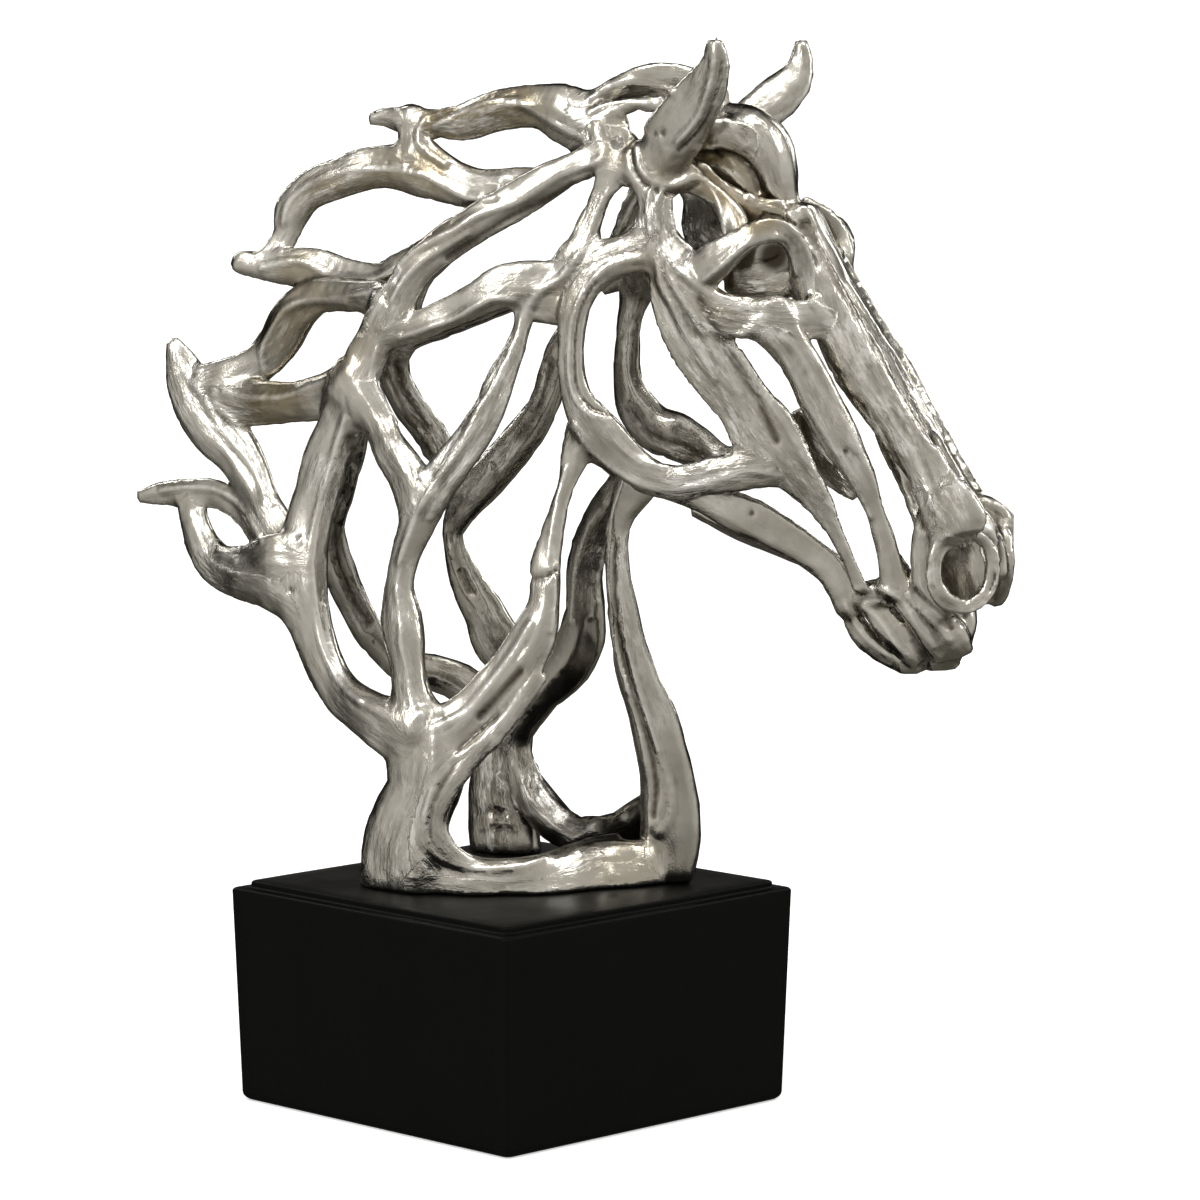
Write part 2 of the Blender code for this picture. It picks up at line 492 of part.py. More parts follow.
def horse():
    """All strands melted into one casting, smoothed, thinned out and cut flat below."""
    casting = bmesh.new()
    sides = [
        (NECK_NEAR, False), (MANE, False), (NECK_FAR, False), (HEAD_NEAR, False),
        (HEAD_MIDDLE, False), (MUZZLE, False), (HEAD_FAR, False), (HEAD_MIRRORED, True),
        (EARS, False)]
    for strands, mirrored in sides:
        for depth_share, knots in strands.values():
            rings, closed = strand_rings(depth_share, knots, mirrored)
            add_strand(casting, on_block(rings), closed)
    resin = new_material("champagne silver resin", (0.47, 0.44, 0.40), 1.0, 0.3)
    made = new_object("horse", casting, resin)
    melt = made.modifiers.new("melt", "REMESH")
    melt.mode = "VOXEL"
    melt.voxel_size = WALL_GRAIN
    soften = made.modifiers.new("soften", "SMOOTH")
    soften.factor = SOFTENING
    soften.iterations = SOFTENING_ROUNDS
    thin = made.modifiers.new("thin out", "DECIMATE")
    thin.ratio = FACE_SHARE
    cut = made.modifiers.new("flat feet", "BOOLEAN")
    cut.object = floor_cutter()
    cut.operation = "DIFFERENCE"
    return made


def block():
    """A square block that draws in downwards, with a raised panel on top."""
    shape = bmesh.new()
    levels = [
        (BLOCK_FOOT_SIDE, 0.0), (BLOCK_SIDE, BLOCK_HEIGHT), (PANEL_SIDE, BLOCK_HEIGHT),
        (PANEL_SIDE, BLOCK_HEIGHT + PANEL_RISE)]
    corners = [(-0.5, -0.5), (0.5, -0.5), (0.5, 0.5), (-0.5, 0.5)]
    loops = [[shape.verts.new((x * side, y * side, z)) for x, y in corners] for side, z in levels]
    for low, high in zip(loops, loops[1:]):
        for corner in range(4):
            after = (corner + 1) % 4
            shape.faces.new((low[corner], low[after], high[after], high[corner]))
    shape.faces.new(loops[0][::-1])
    shape.faces.new(loops[-1])
    paint = new_material("black paint on wood", (0.012, 0.012, 0.012), 0.0, 0.42)
    made = new_object("block", shape, paint)
    bevel = made.modifiers.new("worn edges", "BEVEL")
    bevel.width = BLOCK_EDGE_ROUND
    bevel.segments = 2
    bevel.limit_method = "ANGLE"
    bevel.angle_limit = math.radians(40.0)
    return made


horse()
block()
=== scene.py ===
"""Openwork horse head and neck in champagne-silver resin on a black square block.

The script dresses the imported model: it makes the block, the horse, the floor, the light
and the camera.  Z is up and sizes are in metres.  The horse is worked out in the units of
the sheet that it is drawn on, and set on the block at the end.
"""
import math

import bpy
import numpy as np
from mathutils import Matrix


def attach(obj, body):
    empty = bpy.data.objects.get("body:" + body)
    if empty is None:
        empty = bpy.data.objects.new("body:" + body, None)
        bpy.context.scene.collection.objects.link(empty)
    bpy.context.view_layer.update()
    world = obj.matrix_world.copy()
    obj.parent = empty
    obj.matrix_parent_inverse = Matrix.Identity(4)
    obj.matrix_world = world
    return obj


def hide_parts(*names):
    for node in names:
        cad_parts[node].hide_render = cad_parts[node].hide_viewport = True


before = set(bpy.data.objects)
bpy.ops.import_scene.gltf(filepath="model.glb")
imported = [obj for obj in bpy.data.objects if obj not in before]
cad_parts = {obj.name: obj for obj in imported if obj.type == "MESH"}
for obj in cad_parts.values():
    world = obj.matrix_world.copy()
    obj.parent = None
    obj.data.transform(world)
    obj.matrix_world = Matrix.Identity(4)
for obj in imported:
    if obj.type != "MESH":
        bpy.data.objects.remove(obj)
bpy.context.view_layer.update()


# The block: a square of fibreboard that draws in a little towards its foot, with a
# raised panel routed into its top.  It is filled, sanded and sprayed a satin black.
BLOCK_SIDE = 0.1394
BLOCK_FOOT_SIDE = 0.1352
BLOCK_HEIGHT = 0.0755
BLOCK_EDGE = 0.0012         # radius that sanding leaves round the top
FOOT_EDGE = 0.0030          # and round the foot
BLOCK_CORNER = 0.0022       # radius of the four upright corners
PANEL_SIDE = 0.130
PANEL_RISE = 0.0024
PANEL_EDGE = 0.0009
ROUND_POINTS = 7            # along a rounded edge or corner of the block
PANEL_ROUND_POINTS = 5      # and along one of the panel
SIDE_POINTS = 24            # along a straight side, between its corners
WALL_LOOPS = 14             # level loops up the block's sides
TOP_LOOPS = (0.9, 0.7, 0.5, 0.3)    # loops on the panel's top, as shares of its side
OUT_OF_TRUE = 0.00012       # how far sanding leaves a level face from flat
SWELL_X = (55.0, 1.3)       # radians to a metre along X, and radians at the middle
SWELL_Y = (47.0, 0.4)
RUBBED_PATCH_MM = 26.3      # across a patch that was rubbed dull
PEEL_MM = 1.11              # between the bumps that the spray gun leaves


def linear(hex_colour):
    """An sRGB hex colour as the linear red, green, blue and alpha that a socket holds."""
    channels = np.array([int(hex_colour[at:at + 2], 16) / 255.0 for at in (1, 3, 5)])
    low = channels / 12.92
    high = ((channels + 0.055) / 1.055) ** 2.4
    return (*np.where(channels <= 0.04045, low, high).tolist(), 1.0)


# Which sockets of a node that mixes two colours are which.
MIX_SHARE = 0
MIX_UNDER = 6
MIX_OVER = 7
MIX_RESULT = 2


def add_node(tree, kind, settings=None, links=None):
    """A new node with its settings and links, by property name, socket name or number."""
    made = tree.nodes.new(kind)
    for name, value in (settings or {}).items():
        if isinstance(name, str) and hasattr(made, name):
            setattr(made, name, value)
        else:
            made.inputs[name].default_value = value
    for name, source in (links or {}).items():
        tree.links.new(source, made.inputs[name])
    return made


def new_surface(name):
    """A new material with its node tree and its Principled shader."""
    material = bpy.data.materials.new(name)
    material.use_nodes = True
    tree = material.node_tree
    return material, tree, tree.nodes["Principled BSDF"]


def new_object(name, points, faces, material):
    """A smooth shaded object in the scene, from arrays of points and faces."""
    mesh = bpy.data.meshes.new(name)
    mesh.from_pydata(points, [], faces)
    mesh.polygons.foreach_set("use_smooth", np.ones(len(mesh.polygons), bool))
    mesh.update()
    mesh.materials.append(material)
    made = bpy.data.objects.new(name, mesh)
    bpy.context.scene.collection.objects.link(made)
    return made


def mesh_piece(name, points, faces, material, node):
    """An object that stands for a CAD node."""
    piece = new_object(name, points, faces, material)
    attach(piece, "root")
    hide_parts(node)
    return piece


def square_loop(side):
    """One loop of a square with round corners: four arcs joined by straight runs."""
    reach = (side / 2 - BLOCK_CORNER) * math.sqrt(2)
    arc = np.linspace(0.0, math.pi / 2, ROUND_POINTS)
    steps = np.linspace(0.0, 1.0, SIDE_POINTS + 2)[1:-1, None]
    runs = []
    for quarter in range(4):
        middles = math.pi / 4 + math.pi / 2 * np.array([quarter, quarter + 1])
        centre, next_centre = reach * np.column_stack([np.cos(middles), np.sin(middles)])
        angles = arc + quarter * math.pi / 2
        turned = BLOCK_CORNER * np.column_stack([np.cos(angles), np.sin(angles)])
        runs.append(centre + turned)
        runs.append(centre + turned[-1] + (next_centre - centre) * steps)
    return np.vstack(runs)


def block_surface():
    """Loops of a round-cornered square stacked along the block's profile, closed by two caps.

    The profile is a list of sides and heights.  A rounded edge takes its radius off by one
    minus the sine of the turn one way, and by one minus the cosine the other way.
    """
    turn = np.linspace(0.0, math.pi / 2, ROUND_POINTS)
    panel_turn = np.linspace(0.0, math.pi / 2, PANEL_ROUND_POINTS)
    rise = np.linspace(0.0, 1.0, WALL_LOOPS + 2)[1:-1]
    panel_top = BLOCK_HEIGHT + PANEL_RISE
    profile = np.vstack([
        np.column_stack([side, np.broadcast_to(height, side.shape)]) for side, height in (
            (BLOCK_FOOT_SIDE - 2 * FOOT_EDGE * (1 - np.sin(turn)),
             FOOT_EDGE * (1 - np.cos(turn))),
            (BLOCK_FOOT_SIDE + (BLOCK_SIDE - BLOCK_FOOT_SIDE) * rise,
             FOOT_EDGE + (BLOCK_HEIGHT - FOOT_EDGE - BLOCK_EDGE) * rise),
            (BLOCK_SIDE - 2 * BLOCK_EDGE * (1 - np.cos(turn)),
             BLOCK_HEIGHT - BLOCK_EDGE * (1 - np.sin(turn))),
            (PANEL_SIDE + 2 * PANEL_EDGE * (1 - np.sin(panel_turn)),
             BLOCK_HEIGHT + PANEL_EDGE * (1 - np.cos(panel_turn))),
            (PANEL_SIDE - 2 * PANEL_EDGE * (1 - np.cos(panel_turn)),
             panel_top - PANEL_EDGE * (1 - np.sin(panel_turn))),
            (PANEL_SIDE * np.array(TOP_LOOPS), panel_top))])
    loops = [square_loop(side) for side, _ in profile]
    count = len(loops[0])
    points = np.column_stack([np.vstack(loops), np.repeat(profile[:, 1], count)])
    here = np.arange(count)
    after = (here + 1) % count
    low = np.arange(len(loops) - 1)[:, None] * count
    high = low + count
    walls = np.stack([low + here, low + after, high + after, high + here], axis=-1)
    top = here + (len(loops) - 1) * count
    faces = [*walls.reshape(-1, 4).tolist(), here[::-1].tolist(), top.tolist()]
    swell = [
        np.sin(points[:, axis] * pace + start)
        for axis, (pace, start) in enumerate((SWELL_X, SWELL_Y))]
    points[:, 2] += OUT_OF_TRUE * swell[0] * swell[1] * (points[:, 2] > BLOCK_EDGE)
    return points, faces


# Satin black lacquer over sanded fibreboard: even and dark, with a soft sheen, a fine
# orange peel from the spray gun and a few dull rubbed patches.
lacquer, tree, shader = new_surface("satin black spray lacquer")
place_on = add_node(tree, "ShaderNodeTexCoord").outputs["Object"]
rubbed = add_node(
    tree, "ShaderNodeTexNoise", {"Scale": 1000.0 / RUBBED_PATCH_MM, "Detail": 5.0},
    {"Vector": place_on})
rough = add_node(
    tree, "ShaderNodeMapRange",
    {"From Min": 0.3, "From Max": 0.7, "To Min": 0.34, "To Max": 0.46},
    {"Value": rubbed.outputs["Fac"]})
peel = add_node(
    tree, "ShaderNodeTexNoise", {"Scale": 1000.0 / PEEL_MM, "Detail": 3.0}, {"Vector": place_on})
relief = add_node(
    tree, "ShaderNodeBump", {"Strength": 0.12, "Distance": 0.0003}, {"Height": peel.outputs["Fac"]})
shader.inputs["Base Color"].default_value = linear("#080807")
shader.inputs["IOR"].default_value = 1.5
shader.inputs["Specular IOR Level"].default_value = 0.05
tree.links.new(rough.outputs["Result"], shader.inputs["Roughness"])
tree.links.new(relief.outputs["Normal"], shader.inputs["Normal"])

block_points, block_faces = block_surface()
mesh_piece("block_lacquered", block_points, block_faces, lacquer, "block")


# The horse: one openwork casting in stone-filled resin, taken from a mould of strands
# that were modelled by hand, then coated in champagne silver with a brown wash.
FIGURE_HEIGHT = 0.292               # from the block's panel to the tip of the near ear
GLUE_LINE = 0.0003                  # between the horse's feet and the panel
SHEET_FIGURE_HEIGHT = 841.0         # the figure's height in units of the drawing sheet
UNIT = FIGURE_HEIGHT / SHEET_FIGURE_HEIGHT
SHEET_SIDE = 1200.0
SHEET_MIDDLE = SHEET_SIDE / 2
EYE_DISTANCE = 5362.0               # in sheet units, from the eye to the sheet
EYE_PITCH = math.radians(7.0)       # the sheet is seen from a little above
SHEET_TURN = math.radians(45.0)     # the sheet looks across the block's corner
HORSE_TURN = math.radians(25.0)     # the horse turns its nose out of the sheet
SHEET_AIM = np.array([88.8, 0.0, 284.2])    # right, away, up from the panel's middle
MIDDLE_PLANE = 30.0                 # the horse's middle plane, away from the block's

LOOK = np.array([0.0, math.cos(EYE_PITCH), -math.sin(EYE_PITCH)])
SHEET_UP = np.array([0.0, math.sin(EYE_PITCH), math.cos(EYE_PITCH)])
SHEET_RIGHT = np.array([1.0, 0.0, 0.0])
FAR_SIDE = np.array([math.sin(HORSE_TURN), math.cos(HORSE_TURN), 0.0])
EYE = SHEET_AIM - EYE_DISTANCE * LOOK

# Each strand: (depth as a share of width, [(across, down, out, width), ...]) on a sheet of
# 1200 by 1200 units that shows the horse three-quarter on; out is the distance from the
# horse's middle plane towards the near side.
NECK_NEAR = {
    "crest trunk": (0.75, [
        (356, 392, 55, 58), (341, 428, 52, 52), (323, 470, 52, 49), (311, 512, 56, 48),
        (302, 552, 62, 52), (300, 590, 68, 55), (311, 627, 74, 46), (323, 663, 82, 44),
        (344, 697, 96, 43), (375, 719, 114, 52), (413, 741, 121, 64)]),
    "joint strand": (0.7, [
        (350, 378, 58, 46), (366, 402, 64, 40), (380, 427, 72, 34), (391, 451, 82, 39),
        (408, 478, 92, 42), (418, 506, 98, 44)]),
    "middle trunk": (0.8, [
        (430, 492, 96, 42), (418, 524, 99, 36), (405, 556, 101, 29), (399, 588, 103, 30),
        (400, 616, 106, 43), (404, 642, 110, 43), (407, 666, 113, 37), (411, 695, 117, 42),
        (418, 730, 120, 62)]),
    "slender strand": (0.7, [
        (526, 306, 66, 20), (520, 330, 70, 18), (511, 355, 76, 24), (499, 383, 82, 30),
        (489, 409, 86, 31), (472, 438, 90, 35), (451, 467, 94, 38), (430, 492, 96, 40)]),
    "right branch": (0.7, [
        (586, 436, 66, 46), (575, 455, 68, 30), (566, 486, 74, 18), (557, 515, 80, 20),
        (550, 540, 86, 26), (545, 570, 92, 30), (544, 600, 97, 33), (537, 628, 102, 43),
        (520, 658, 106, 48), (496, 688, 110, 47), (466, 716, 114, 46),
        (436, 744, 118, 58)]),
    "foot trunk": (0.8, [
        (428, 738, 118, 66), (425, 766, 120, 80), (422, 792, 122, 74), (410, 820, 122, 80),
        (404, 850, 120, 90), (404, 885, 118, 92)]),
    "arch rim": (0.7, [
        (540, 676, 108, 14), (522, 702, 114, 18), (500, 728, 120, 20), (476, 752, 125, 22),
        (456, 776, 131, 22), (442, 799, 135, 22), (436, 822, 135, 23), (441, 844, 131, 25),
        (457, 862, 123, 26), (482, 871, 108, 26), (510, 873, 98, 26), (536, 869, 80, 26),
        (562, 861, 54, 26), (590, 851, 22, 26), (616, 846, 0, 26)]),
    "foot band": (0.65, [
        (400, 880, 108, 86), (430, 885, 118, 72), (465, 888, 118, 60), (500, 891, 104, 58),
        (535, 890, 86, 66), (565, 888, 60, 72), (595, 885, 28, 88), (628, 884, 2, 88),
        (656, 884, -24, 80), (674, 880, -52, 72)]),
    "long diagonal": (0.6, [
        (606, 152, 52, 30), (577, 166, 54, 30), (546, 183, 56, 36), (511, 203, 58, 39),
        (475, 224, 60, 37), (443, 246, 60, 37), (415, 271, 60, 36), (398, 300, 60, 38),
        (388, 326, 58, 40)]),
    "lower mane strand": (0.55, [
        (376, 334, 56, 40), (396, 332, 60, 32), (420, 326, 64, 32), (451, 314, 67, 34),
        (480, 299, 70, 38), (505, 286, 70, 44), (532, 281, 68, 40), (556, 276, 66, 34),
        (577, 252, 64, 30), (590, 223, 60, 24), (600, 197, 58, 21), (611, 177, 56, 23),
        (622, 158, 52, 32)]),
    "web behind the cheek": (0.4, [
        (520, 298, 66, 28), (544, 304, 66, 36), (572, 308, 66, 40)]),
    "stem under the diagonal": (0.6, [
        (390, 308, 60, 38), (378, 334, 58, 40), (362, 366, 58, 44), (352, 398, 56, 54)]),
}
MANE = {
    "upper ribbon": (0.55, [
        (500, 194, 40, 34), (466, 190, 30, 35), (430, 176, 22, 46), (400, 168, 16, 44),
        (371, 168, 12, 45), (338, 178, 8, 41), (309, 192, 4, 39), (291, 213, 2, 37),
        (285, 236, 2, 26), (264, 260, 4, 20), (244, 263, 4, 20), (236, 263, 4, 14)]),
    "upper ribbon root": (0.6, [
        (411, 112, 10, 24), (411, 132, 14, 24), (412, 154, 16, 30)]),
    "top lock": (0.7, [
        (371, 119, 8, 14), (386, 117, 8, 20), (398, 119, 9, 24), (418, 122, 12, 28),
        (440, 123, 15, 28), (462, 123, 18, 36), (485, 115, 21, 40), (512, 108, 24, 42),
        (540, 106, 28, 44), (566, 114, 32, 60), (596, 130, 38, 56), (625, 142, 44, 40)]),
    "strand below the slot": (0.6, [
        (421, 140, 18, 14), (430, 152, 20, 18), (443, 163, 22, 22), (460, 176, 24, 27),
        (480, 183, 28, 30), (512, 184, 34, 32), (545, 180, 40, 28), (577, 166, 42, 26),
        (602, 150, 44, 30)]),
    "second lock": (0.55, [
        (240, 262, 4, 18), (262, 268, 6, 24), (291, 267, 10, 37), (320, 268, 14, 39),
        (350, 274, 22, 31), (378, 275, 32, 23), (399, 264, 42, 24), (424, 248, 50, 20),
        (452, 231, 55, 18)]),
    "third lock": (0.55, [
        (382, 299, 52, 38), (352, 296, 40, 32), (319, 297, 24, 36), (294, 315, 14, 44),
        (277, 344, 8, 44), (255, 366, 4, 38), (226, 378, 2, 40), (205, 384, 0, 42)]),
    "third lock flame": (0.55, [
        (173, 344, -8, 18), (177, 355, -8, 28), (184, 373, -6, 42), (194, 398, -3, 52),
        (214, 427, 2, 56), (237, 452, 10, 50), (254, 481, 20, 42), (266, 508, 32, 36),
        (282, 534, 44, 36), (298, 558, 54, 40)]),
    "bridge to the trunk": (0.6, [
        (354, 378, 52, 44), (330, 394, 44, 47), (302, 402, 32, 43), (272, 403, 20, 45),
        (244, 402, 8, 48), (220, 394, 2, 48)]),
    "fourth lock": (0.5, [
        (140, 497, -6, 14), (162, 494, -4, 23), (188, 492, 0, 29), (214, 493, 8, 30),
        (237, 507, 20, 27), (253, 527, 32, 23), (266, 548, 44, 30)]),
    "lock web": (0.4, [
        (222, 560, 22, 26), (246, 564, 46, 38), (272, 562, 66, 56), (298, 562, 68, 56)]),
    "fourth lock root": (0.55, [
        (190, 496, 0, 26), (193, 517, 4, 30), (201, 542, 12, 34), (217, 565, 22, 42),
        (243, 577, 42, 48), (270, 588, 62, 46), (296, 604, 70, 40), (312, 626, 72, 30)]),
}
NECK_FAR = {
    "far crest trunk": (0.8, [
        (356, 412, 10, 32), (351, 450, -10, 30), (341, 490, -30, 30), (332, 530, -46, 28),
        (341, 576, -60, 34), (357, 612, -72, 34), (376, 643, -84, 30), (402, 666, -94, 34),
        (440, 674, -104, 40), (474, 694, -114, 44), (498, 736, -122, 44)]),
    "far diagonal": (0.8, [
        (604, 158, -50, 24), (562, 178, -52, 24), (520, 202, -54, 26), (480, 228, -56, 26),
        (446, 252, -56, 26), (420, 280, -56, 26), (405, 316, -56, 28), (398, 345, -56, 30)]),
    "far lower mane strand": (0.8, [
        (402, 340, -56, 24), (440, 328, -58, 24), (476, 314, -60, 22), (508, 300, -60, 24),
        (545, 290, -60, 28), (574, 262, -58, 26), (586, 230, -52, 16),
        (603, 190, -48, 16)]),
    "far upper strand": (0.8, [
        (398, 340, -56, 32), (393, 372, -60, 34), (406, 402, -64, 34), (426, 428, -68, 35),
        (441, 455, -72, 32), (455, 488, -78, 30)]),
    "far slender strand": (0.8, [
        (572, 328, -58, 26), (559, 352, -62, 28), (551, 380, -66, 30), (543, 405, -68, 32),
        (528, 431, -72, 36), (506, 457, -76, 40), (482, 484, -80, 40), (462, 509, -84, 34),
        (452, 534, -86, 25), (458, 560, -88, 28), (470, 588, -92, 37), (485, 614, -96, 45),
        (497, 642, -100, 53), (514, 670, -106, 42), (532, 700, -112, 40)]),
    "far throat strand": (0.8, [
        (630, 478, -40, 38), (607, 505, -56, 33), (595, 530, -66, 35), (587, 556, -74, 38),
        (584, 584, -82, 40), (585, 612, -88, 43), (580, 642, -96, 51), (563, 670, -104, 49),
        (536, 698, -112, 42), (512, 726, -120, 44)]),
    "throat web": (0.5, [
        (582, 448, 64, 22), (602, 455, 50, 24), (622, 470, 20, 26)]),
    "far rear pillar": (0.9, [
        (503, 728, -122, 42), (498, 756, -124, 53), (499, 788, -126, 66),
        (502, 820, -124, 74), (506, 850, -122, 76)]),
    "far band": (0.9, [
        (540, 700, -112, 24), (521, 735, -118, 26), (523, 768, -118, 28),
        (539, 805, -110, 42), (572, 833, -96, 38), (605, 833, -80, 36), (634, 822, -58, 40),
        (656, 800, -36, 30)]),
    "front pillar": (0.8, [
        (636, 484, -6, 44), (622, 512, -6, 29), (617, 540, -6, 23), (618, 572, -6, 25),
        (622, 604, -6, 29), (628, 640, -8, 35), (638, 680, -12, 42), (653, 718, -18, 48),
        (663, 756, -22, 54), (669, 796, -26, 58), (670, 832, -28, 60),
        (666, 868, -28, 60)]),
}
HEAD_NEAR = {
    "cheek ring": (0.6, [
        (664, 250, 62, 34), (634, 257, 66, 30), (606, 268, 70, 30), (586, 286, 72, 28),
        (574, 312, 74, 28), (571, 345, 76, 27), (572, 378, 76, 30), (580, 405, 76, 35),
        (596, 426, 76, 40), (615, 448, 74, 40), (642, 472, 72, 36), (674, 483, 70, 33),
        (708, 478, 70, 36), (741, 471, 70, 38), (772, 468, 66, 34)]),
    "temple band": (0.5, [
        (568, 262, 64, 30), (600, 254, 66, 26), (630, 245, 66, 26), (658, 236, 66, 32)]),
    "cheek plate": (0.3, [
        (668, 258, 66, 32), (675, 291, 70, 52), (698, 341, 74, 61), (723, 377, 74, 58),
        (746, 409, 72, 56), (765, 436, 70, 66), (792, 468, 64, 48), (818, 502, 56, 28),
        (834, 531, 50, 17), (848, 560, 44, 13), (859, 586, 40, 14)]),
    "cheek bone": (0.4, [
        (664, 250, 66, 28), (684, 284, 76, 36), (712, 310, 80, 42), (745, 317, 80, 41),
        (775, 320, 74, 40), (800, 320, 64, 38), (828, 318, 50, 38)]),
    "cheek bone strand": (0.6, [
        (768, 318, 74, 48), (788, 346, 70, 38), (806, 374, 66, 38), (821, 404, 62, 40),
        (836, 434, 58, 40), (852, 462, 54, 32), (866, 488, 50, 24), (876, 514, 46, 20),
        (885, 542, 42, 21), (890, 566, 40, 24), (896, 592, 38, 28)]),
    "brow": (0.6, [
        (676, 262, 70, 28), (696, 270, 76, 34), (716, 262, 82, 38), (738, 244, 86, 28),
        (760, 231, 82, 23), (780, 230, 72, 22), (796, 244, 60, 22), (802, 268, 52, 26),
        (808, 300, 46, 30)]),
    "inner web": (0.4, [
        (800, 416, 40, 24), (812, 444, 34, 40), (834, 466, 34, 40), (856, 486, 40, 28)]),
    "nose side": (0.5, [
        (796, 214, 34, 28), (808, 244, 38, 33), (820, 278, 42, 42), (836, 319, 44, 51),
        (857, 361, 44, 55), (882, 401, 44, 50), (908, 440, 44, 46), (932, 480, 46, 44),
        (948, 506, 48, 54), (958, 525, 48, 58)]),
    "nose inner edge": (0.8, [
        (858, 392, 20, 14), (879, 425, 18, 20), (897, 459, 18, 22), (911, 492, 22, 20),
        (923, 524, 28, 18), (929, 556, 36, 22)]),
    "temple strand": (0.5, [
        (644, 168, 60, 26), (652, 198, 64, 27), (655, 226, 66, 36), (656, 250, 66, 38)]),
    "temple fore strand": (0.5, [
        (690, 180, 60, 22), (714, 196, 60, 22), (732, 220, 66, 28), (738, 240, 76, 22)]),
    "temple near strand": (0.5, [
        (666, 180, 60, 20), (662, 206, 64, 18), (666, 236, 68, 22), (682, 256, 74, 24)]),
    "lower jaw": (0.5, [
        (650, 484, 60, 18), (684, 493, 58, 25), (714, 502, 52, 34), (745, 517, 46, 42),
        (774, 532, 40, 38), (803, 549, 34, 32), (827, 567, 30, 32), (842, 590, 28, 30),
        (850, 606, 26, 30)]),
    "eye bowl": (0.3, [
        (734, 272, 48, 52), (762, 270, 44, 70), (788, 264, 38, 62)]),
}
HEAD_MIDDLE = {
    "forehead shell": (1.3, [
        (726, 114, 10, 24), (750, 128, 14, 44), (766, 148, 14, 50), (776, 174, 12, 43),
        (782, 202, 8, 34), (795, 228, 4, 30)]),
    "recess floor": (0.25, [
        (690, 150, 20, 44), (716, 160, 24, 54), (740, 174, 24, 54), (765, 196, 24, 40)]),
    "forehead ledge": (0.4, [
        (690, 168, 44, 26), (722, 196, 44, 28), (752, 210, 44, 28), (778, 212, 36, 24)]),
    "poll arch": (0.6, [
        (588, 101, 36, 14), (612, 88, 30, 19), (640, 79, 20, 25), (668, 76, 10, 27),
        (694, 83, 0, 29), (716, 100, -10, 30)]),
    "poll inner arch": (0.6, [
        (588, 108, 30, 24), (616, 98, 22, 26), (646, 92, 12, 22), (668, 98, 10, 20),
        (690, 110, 0, 30)]),
    "poll lower arch": (0.6, [
        (580, 120, 40, 22), (606, 113, 44, 18), (634, 105, 46, 15), (660, 104, 48, 18)]),
    "poll web": (0.5, [
        (606, 164, 54, 30), (628, 172, 56, 26), (648, 178, 58, 26)]),
    "poll pillar": (0.7, [
        (600, 128, 44, 30), (611, 144, 46, 27), (631, 155, 50, 28), (650, 166, 54, 34)]),
    "crown fill": (0.8, [
        (704, 132, 40, 26), (724, 136, 34, 34), (744, 142, 26, 30)]),
    "skull cap": (1.0, [
        (660, 150, 40, 44), (690, 132, 20, 48), (716, 124, -10, 46), (740, 132, -36, 36)]),
    "nose bridge": (2.4, [
        (800, 216, 0, 40), (826, 260, 0, 32), (856, 314, 0, 32), (886, 368, 0, 32),
        (914, 420, 0, 32), (938, 466, 0, 34), (956, 502, 0, 40)]),
    "cheek tie": (0.8, [
        (630, 262, 60, 26), (636, 272, 10, 34), (640, 282, -50, 34)]),
    "jaw floor": (2.6, [
        (700, 508, 4, 24), (736, 526, 0, 26), (770, 540, 0, 26), (806, 556, 0, 24)]),
}
MUZZLE = {
    "nostril ring": (0.5, [
        (966, 534, 38, 13), (984, 540, 28, 13), (992, 562, 22, 13), (988, 588, 24, 13),
        (970, 606, 36, 15), (948, 602, 50, 17), (935, 582, 56, 16), (936, 556, 56, 15),
        (948, 540, 48, 14), (966, 534, 38, 13)]),
    "nostril floor": (0.3, [
        (958, 548, 10, 40), (964, 572, 10, 48), (964, 596, 10, 36)]),
    "nose tip": (0.9, [
        (950, 510, 10, 46), (976, 528, 4, 36), (992, 548, -4, 26), (996, 572, -6, 24)]),
    "muzzle side": (0.7, [
        (938, 488, 46, 24), (929, 514, 46, 24), (924, 542, 44, 24), (922, 568, 44, 22),
        (926, 592, 42, 24), (944, 614, 38, 24)]),
    "upper lip": (0.7, [
        (862, 594, 26, 22), (884, 590, 28, 24), (906, 598, 30, 30), (926, 617, 30, 38),
        (944, 638, 24, 48), (952, 650, 16, 40)]),
    "lip ridge": (0.8, [
        (866, 600, 34, 9), (884, 597, 38, 10), (900, 604, 40, 10), (914, 622, 40, 11),
        (926, 642, 36, 12), (940, 658, 26, 14)]),
    "lower lip": (0.6, [
        (862, 602, 26, 12), (876, 616, 32, 24), (892, 634, 34, 30), (908, 650, 30, 28),
        (918, 661, 22, 18)]),
    "chin": (0.8, [
        (848, 602, 20, 20), (855, 622, 20, 22), (868, 639, 18, 25), (886, 652, 14, 26),
        (904, 660, 10, 24), (916, 662, 8, 18)]),
    "muzzle core": (1.0, [
        (900, 606, 0, 26), (926, 622, 0, 44), (948, 634, 0, 50)]),
    "muzzle front": (1.0, [
        (960, 602, -4, 28), (960, 620, 0, 32), (954, 642, 4, 32)]),
    "lip floor": (0.7, [
        (904, 660, 14, 26), (928, 661, 10, 23), (950, 656, 6, 28)]),
    "web over the lip": (0.5, [
        (893, 560, 30, 18), (908, 580, 30, 20), (926, 584, 34, 24)]),
}
